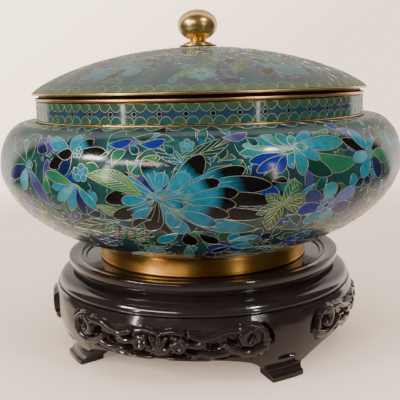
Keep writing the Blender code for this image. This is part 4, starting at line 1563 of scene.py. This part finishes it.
# %% Four legs
share, level = np.meshgrid(np.linspace(-1, 1, 90), np.linspace(0, 1, 110))
leg_z = DRUM_TOP * (1 - level)
leg_radius = drum_radius(leg_z, 1)
foot_angle = 10.7 * MM / leg_radius  # half of the angle that a foot takes up
opening = np.clip((leg_z - TOE) / (14.5 * MM - TOE), 0, 1) ** 1.5
leg_angle = share * (foot_angle + (math.radians(15) - foot_angle) * opening)
leg_depth = 14.9 * MM + 5.1 * MM * np.minimum(leg_z / FULLEST, 1)
to_apron = (math.radians(45) - abs(leg_angle)) * DRUM_RADIUS / MM
leg_carving = (leg_relief(leg_angle * DRUM_RADIUS / MM, leg_z / MM) + carving(to_apron, leg_z / MM)) * MM
for n in range(1, 5):
    names = f"carved_leg_{n}", f"stand_leg_{n}"
    turn = math.tau * (n - 0.5) / 4
    board(names[0], leg_angle, leg_z, leg_radius, leg_carving, leg_depth, turn, names[1])

# %% [markdown]
# ## Where it stands
#
# The set is a round, pale table under a pale background. The table fades out behind the piece, so
# no horizon shows. The fade is a mix with the transparent shader, by the distance from the
# table's middle, which lies a little behind the bowl.

# %% The table
TABLE_RADIUS, TABLE_BACK = 0.5, 0.25
FADE_FROM, FADE_TO = 0.28, 0.48
made, tree, shader = new_finish("pale_table")
patches = spread(tree, add_noise(tree, 0.8, 2), 0, 1)
pale = mix_colour(tree, patches, (0.94, 0.78, 0.66), (0.91, 0.75, 0.63))
tree.links.new(pale, shader.inputs["Base Color"])
shader.inputs["Roughness"].default_value = 0.75
clear = tree.nodes.new("ShaderNodeBsdfTransparent")
fade = tree.nodes.new("ShaderNodeMixShader")
where = tree.nodes.new("ShaderNodeTexCoord")
away = tree.nodes.new("ShaderNodeVectorMath")
away.operation = "LENGTH"
tree.links.new(where.outputs["Object"], away.inputs[0])
tree.links.new(spread(tree, away.outputs["Value"], 0.0, 1.0, FADE_FROM, FADE_TO), fade.inputs["Fac"])
tree.links.new(shader.outputs[0], fade.inputs[1])
tree.links.new(clear.outputs[0], fade.inputs[2])
tree.links.new(fade.outputs[0], tree.nodes["Material Output"].inputs["Surface"])

disc = [(TABLE_RADIUS * math.cos(t), TABLE_RADIUS * math.sin(t), 0) for t in np.arange(64) * math.tau / 64]
plane = bpy.data.meshes.new("table")
plane.from_pydata(disc, [], [tuple(range(len(disc)))])
plane.materials.append(made)
table = bpy.data.objects.new("table", plane)
table.location = (-TABLE_BACK * math.cos(FRONT), -TABLE_BACK * math.sin(FRONT), 0)
bpy.context.scene.collection.objects.link(table)
print("table fades out", FADE_FROM, "to", FADE_TO, "m from its middle")

# %% [markdown]
# ## The room
#
# Polished glass shows the room that it stands in. In front of the piece the room is dim, and the
# wall behind it is bright: so the glass shows its own colour in front and silvers over at its
# edges, where it mirrors the wall. The world is three colours for three kinds of ray: mirrored
# rays, scattered rays and the rays that go straight to the camera.

# %% What the glass mirrors, and what lights the piece
world = bpy.data.worlds.new("room")
bpy.context.scene.world = world
world.use_nodes = True
tree = world.node_tree
towards = tree.nodes.new("ShaderNodeTexCoord")
path = tree.nodes.new("ShaderNodeLightPath")


def facing(direction):
    """How far a ray of light points in a direction."""
    dot_product = tree.nodes.new("ShaderNodeVectorMath")
    dot_product.operation = "DOT_PRODUCT"
    dot_product.inputs[1].default_value = direction
    tree.links.new(towards.outputs["Generated"], dot_product.inputs[0])
    return dot_product.outputs["Value"]


WALL = FRONT - math.radians(0.5)
to_wall = facing((-math.cos(WALL), -math.sin(WALL), 0.5))
on_wall = spread(tree, to_wall, 0.0, 1.0, 0.50, 0.58)
to_middle = spread(tree, to_wall, 0.0, 1.0, 0.66, 0.92)
bright = mix_colour(tree, to_middle, (2.2, 2.05, 1.88), (0.80, 0.70, 0.62))
mirrored = mix_colour(tree, on_wall, (0.10, 0.09, 0.085), bright)
from_wall = spread(tree, to_wall, 0.0, 1.0, -0.2, 0.9)
scattered = mix_colour(tree, from_wall, (0.42, 0.39, 0.36), (2.9, 2.6, 2.35))
lit = mix_colour(tree, path.outputs["Is Diffuse Ray"], mirrored, scattered)

# %% What the camera sees behind the piece
to_corner = facing((0.7 * math.sin(FRONT), -0.7 * math.cos(FRONT), 1.0))
rise = spread(tree, to_corner, 0.0, 1.0, -0.08, 0.24)
behind = mix_colour(tree, rise, (2.62, 1.98, 1.58), (4.3, 3.25, 2.55))
shown = mix_colour(tree, path.outputs["Is Camera Ray"], lit, behind)
sky = tree.nodes["Background"]
tree.links.new(shown, sky.inputs["Color"])
sky.inputs["Strength"].default_value = 1.0
print("room made")

# %% [markdown]
# ## Lamps
#
# Three soft lamps give the broad highlights on the shoulder and the knob. Two tall, narrow
# windows make the upright streaks on the neck band and the foot ring. Rectangles of light are
# chosen for all five, because their mirror images keep that shape on polished glass.

# %% Three soft lamps and two tall narrow windows
LAMP_DISTANCE = 1.6
WARM_WHITE = (1.0, 0.93, 0.84)
AIM = Vector((0, 0, 0.1))


def lamp(name, side, elevation, width, height, power):
    """A soft lamp, aimed at the bowl, at degrees to the side of the viewer."""
    around, up = FRONT + math.radians(side), math.radians(elevation)
    away = Vector((math.cos(around) * math.cos(up), math.sin(around) * math.cos(up), math.sin(up)))
    light = bpy.data.lights.new(name, "AREA")
    light.shape = "RECTANGLE"
    light.size, light.size_y = width, height
    light.energy = power
    light.color = WARM_WHITE
    made = bpy.data.objects.new(name, light)
    bpy.context.scene.collection.objects.link(made)
    made.location = AIM + away * LAMP_DISTANCE
    made.rotation_euler = (-away).to_track_quat("-Z", "Y").to_euler()
    print(f"{name}: {power} W, {side} degrees round and {elevation} up")


lamp("lamp_left", -61, 27, 0.28, 0.12, 14)
lamp("glow_left", -36, 24, 0.80, 0.14, 9)
lamp("lamp_right", 43, 40, 0.14, 0.12, 8)
lamp("window_left", -49, 8, 0.06, 0.60, 4.4)
lamp("window_right", 37, 8, 0.05, 0.60, 2.4)

# %% [markdown]
# ## The camera
#
# The camera stands in front, close and a little above, and looks down on the lid and the stand's
# top ring by about ten degrees. Its place is given by a distance from the axis and a height, and
# its aim by three angles: how far it is swung, tilted and rolled.

# %% The camera
STAND_OFF, EYE_HEIGHT = 0.4259, 0.167
SWING, TILT, ROLL = math.radians(14.95), math.radians(79.60), math.radians(-1.405)
camera_data = bpy.data.cameras.new("camera")
camera_data.lens = 59.056
camera = bpy.data.objects.new("camera", camera_data)
bpy.context.scene.collection.objects.link(camera)
eye = Vector((STAND_OFF * math.cos(FRONT), STAND_OFF * math.sin(FRONT), EYE_HEIGHT))
aim = Matrix.Rotation(SWING, 4, "Z") @ Matrix.Rotation(TILT, 4, "X") @ Matrix.Rotation(ROLL, 4, "Z")
camera.matrix_world = Matrix.Translation(eye) @ aim
bpy.context.scene.camera = camera
print("camera", round(eye.length, 3), "m from the middle of the stand's foot")
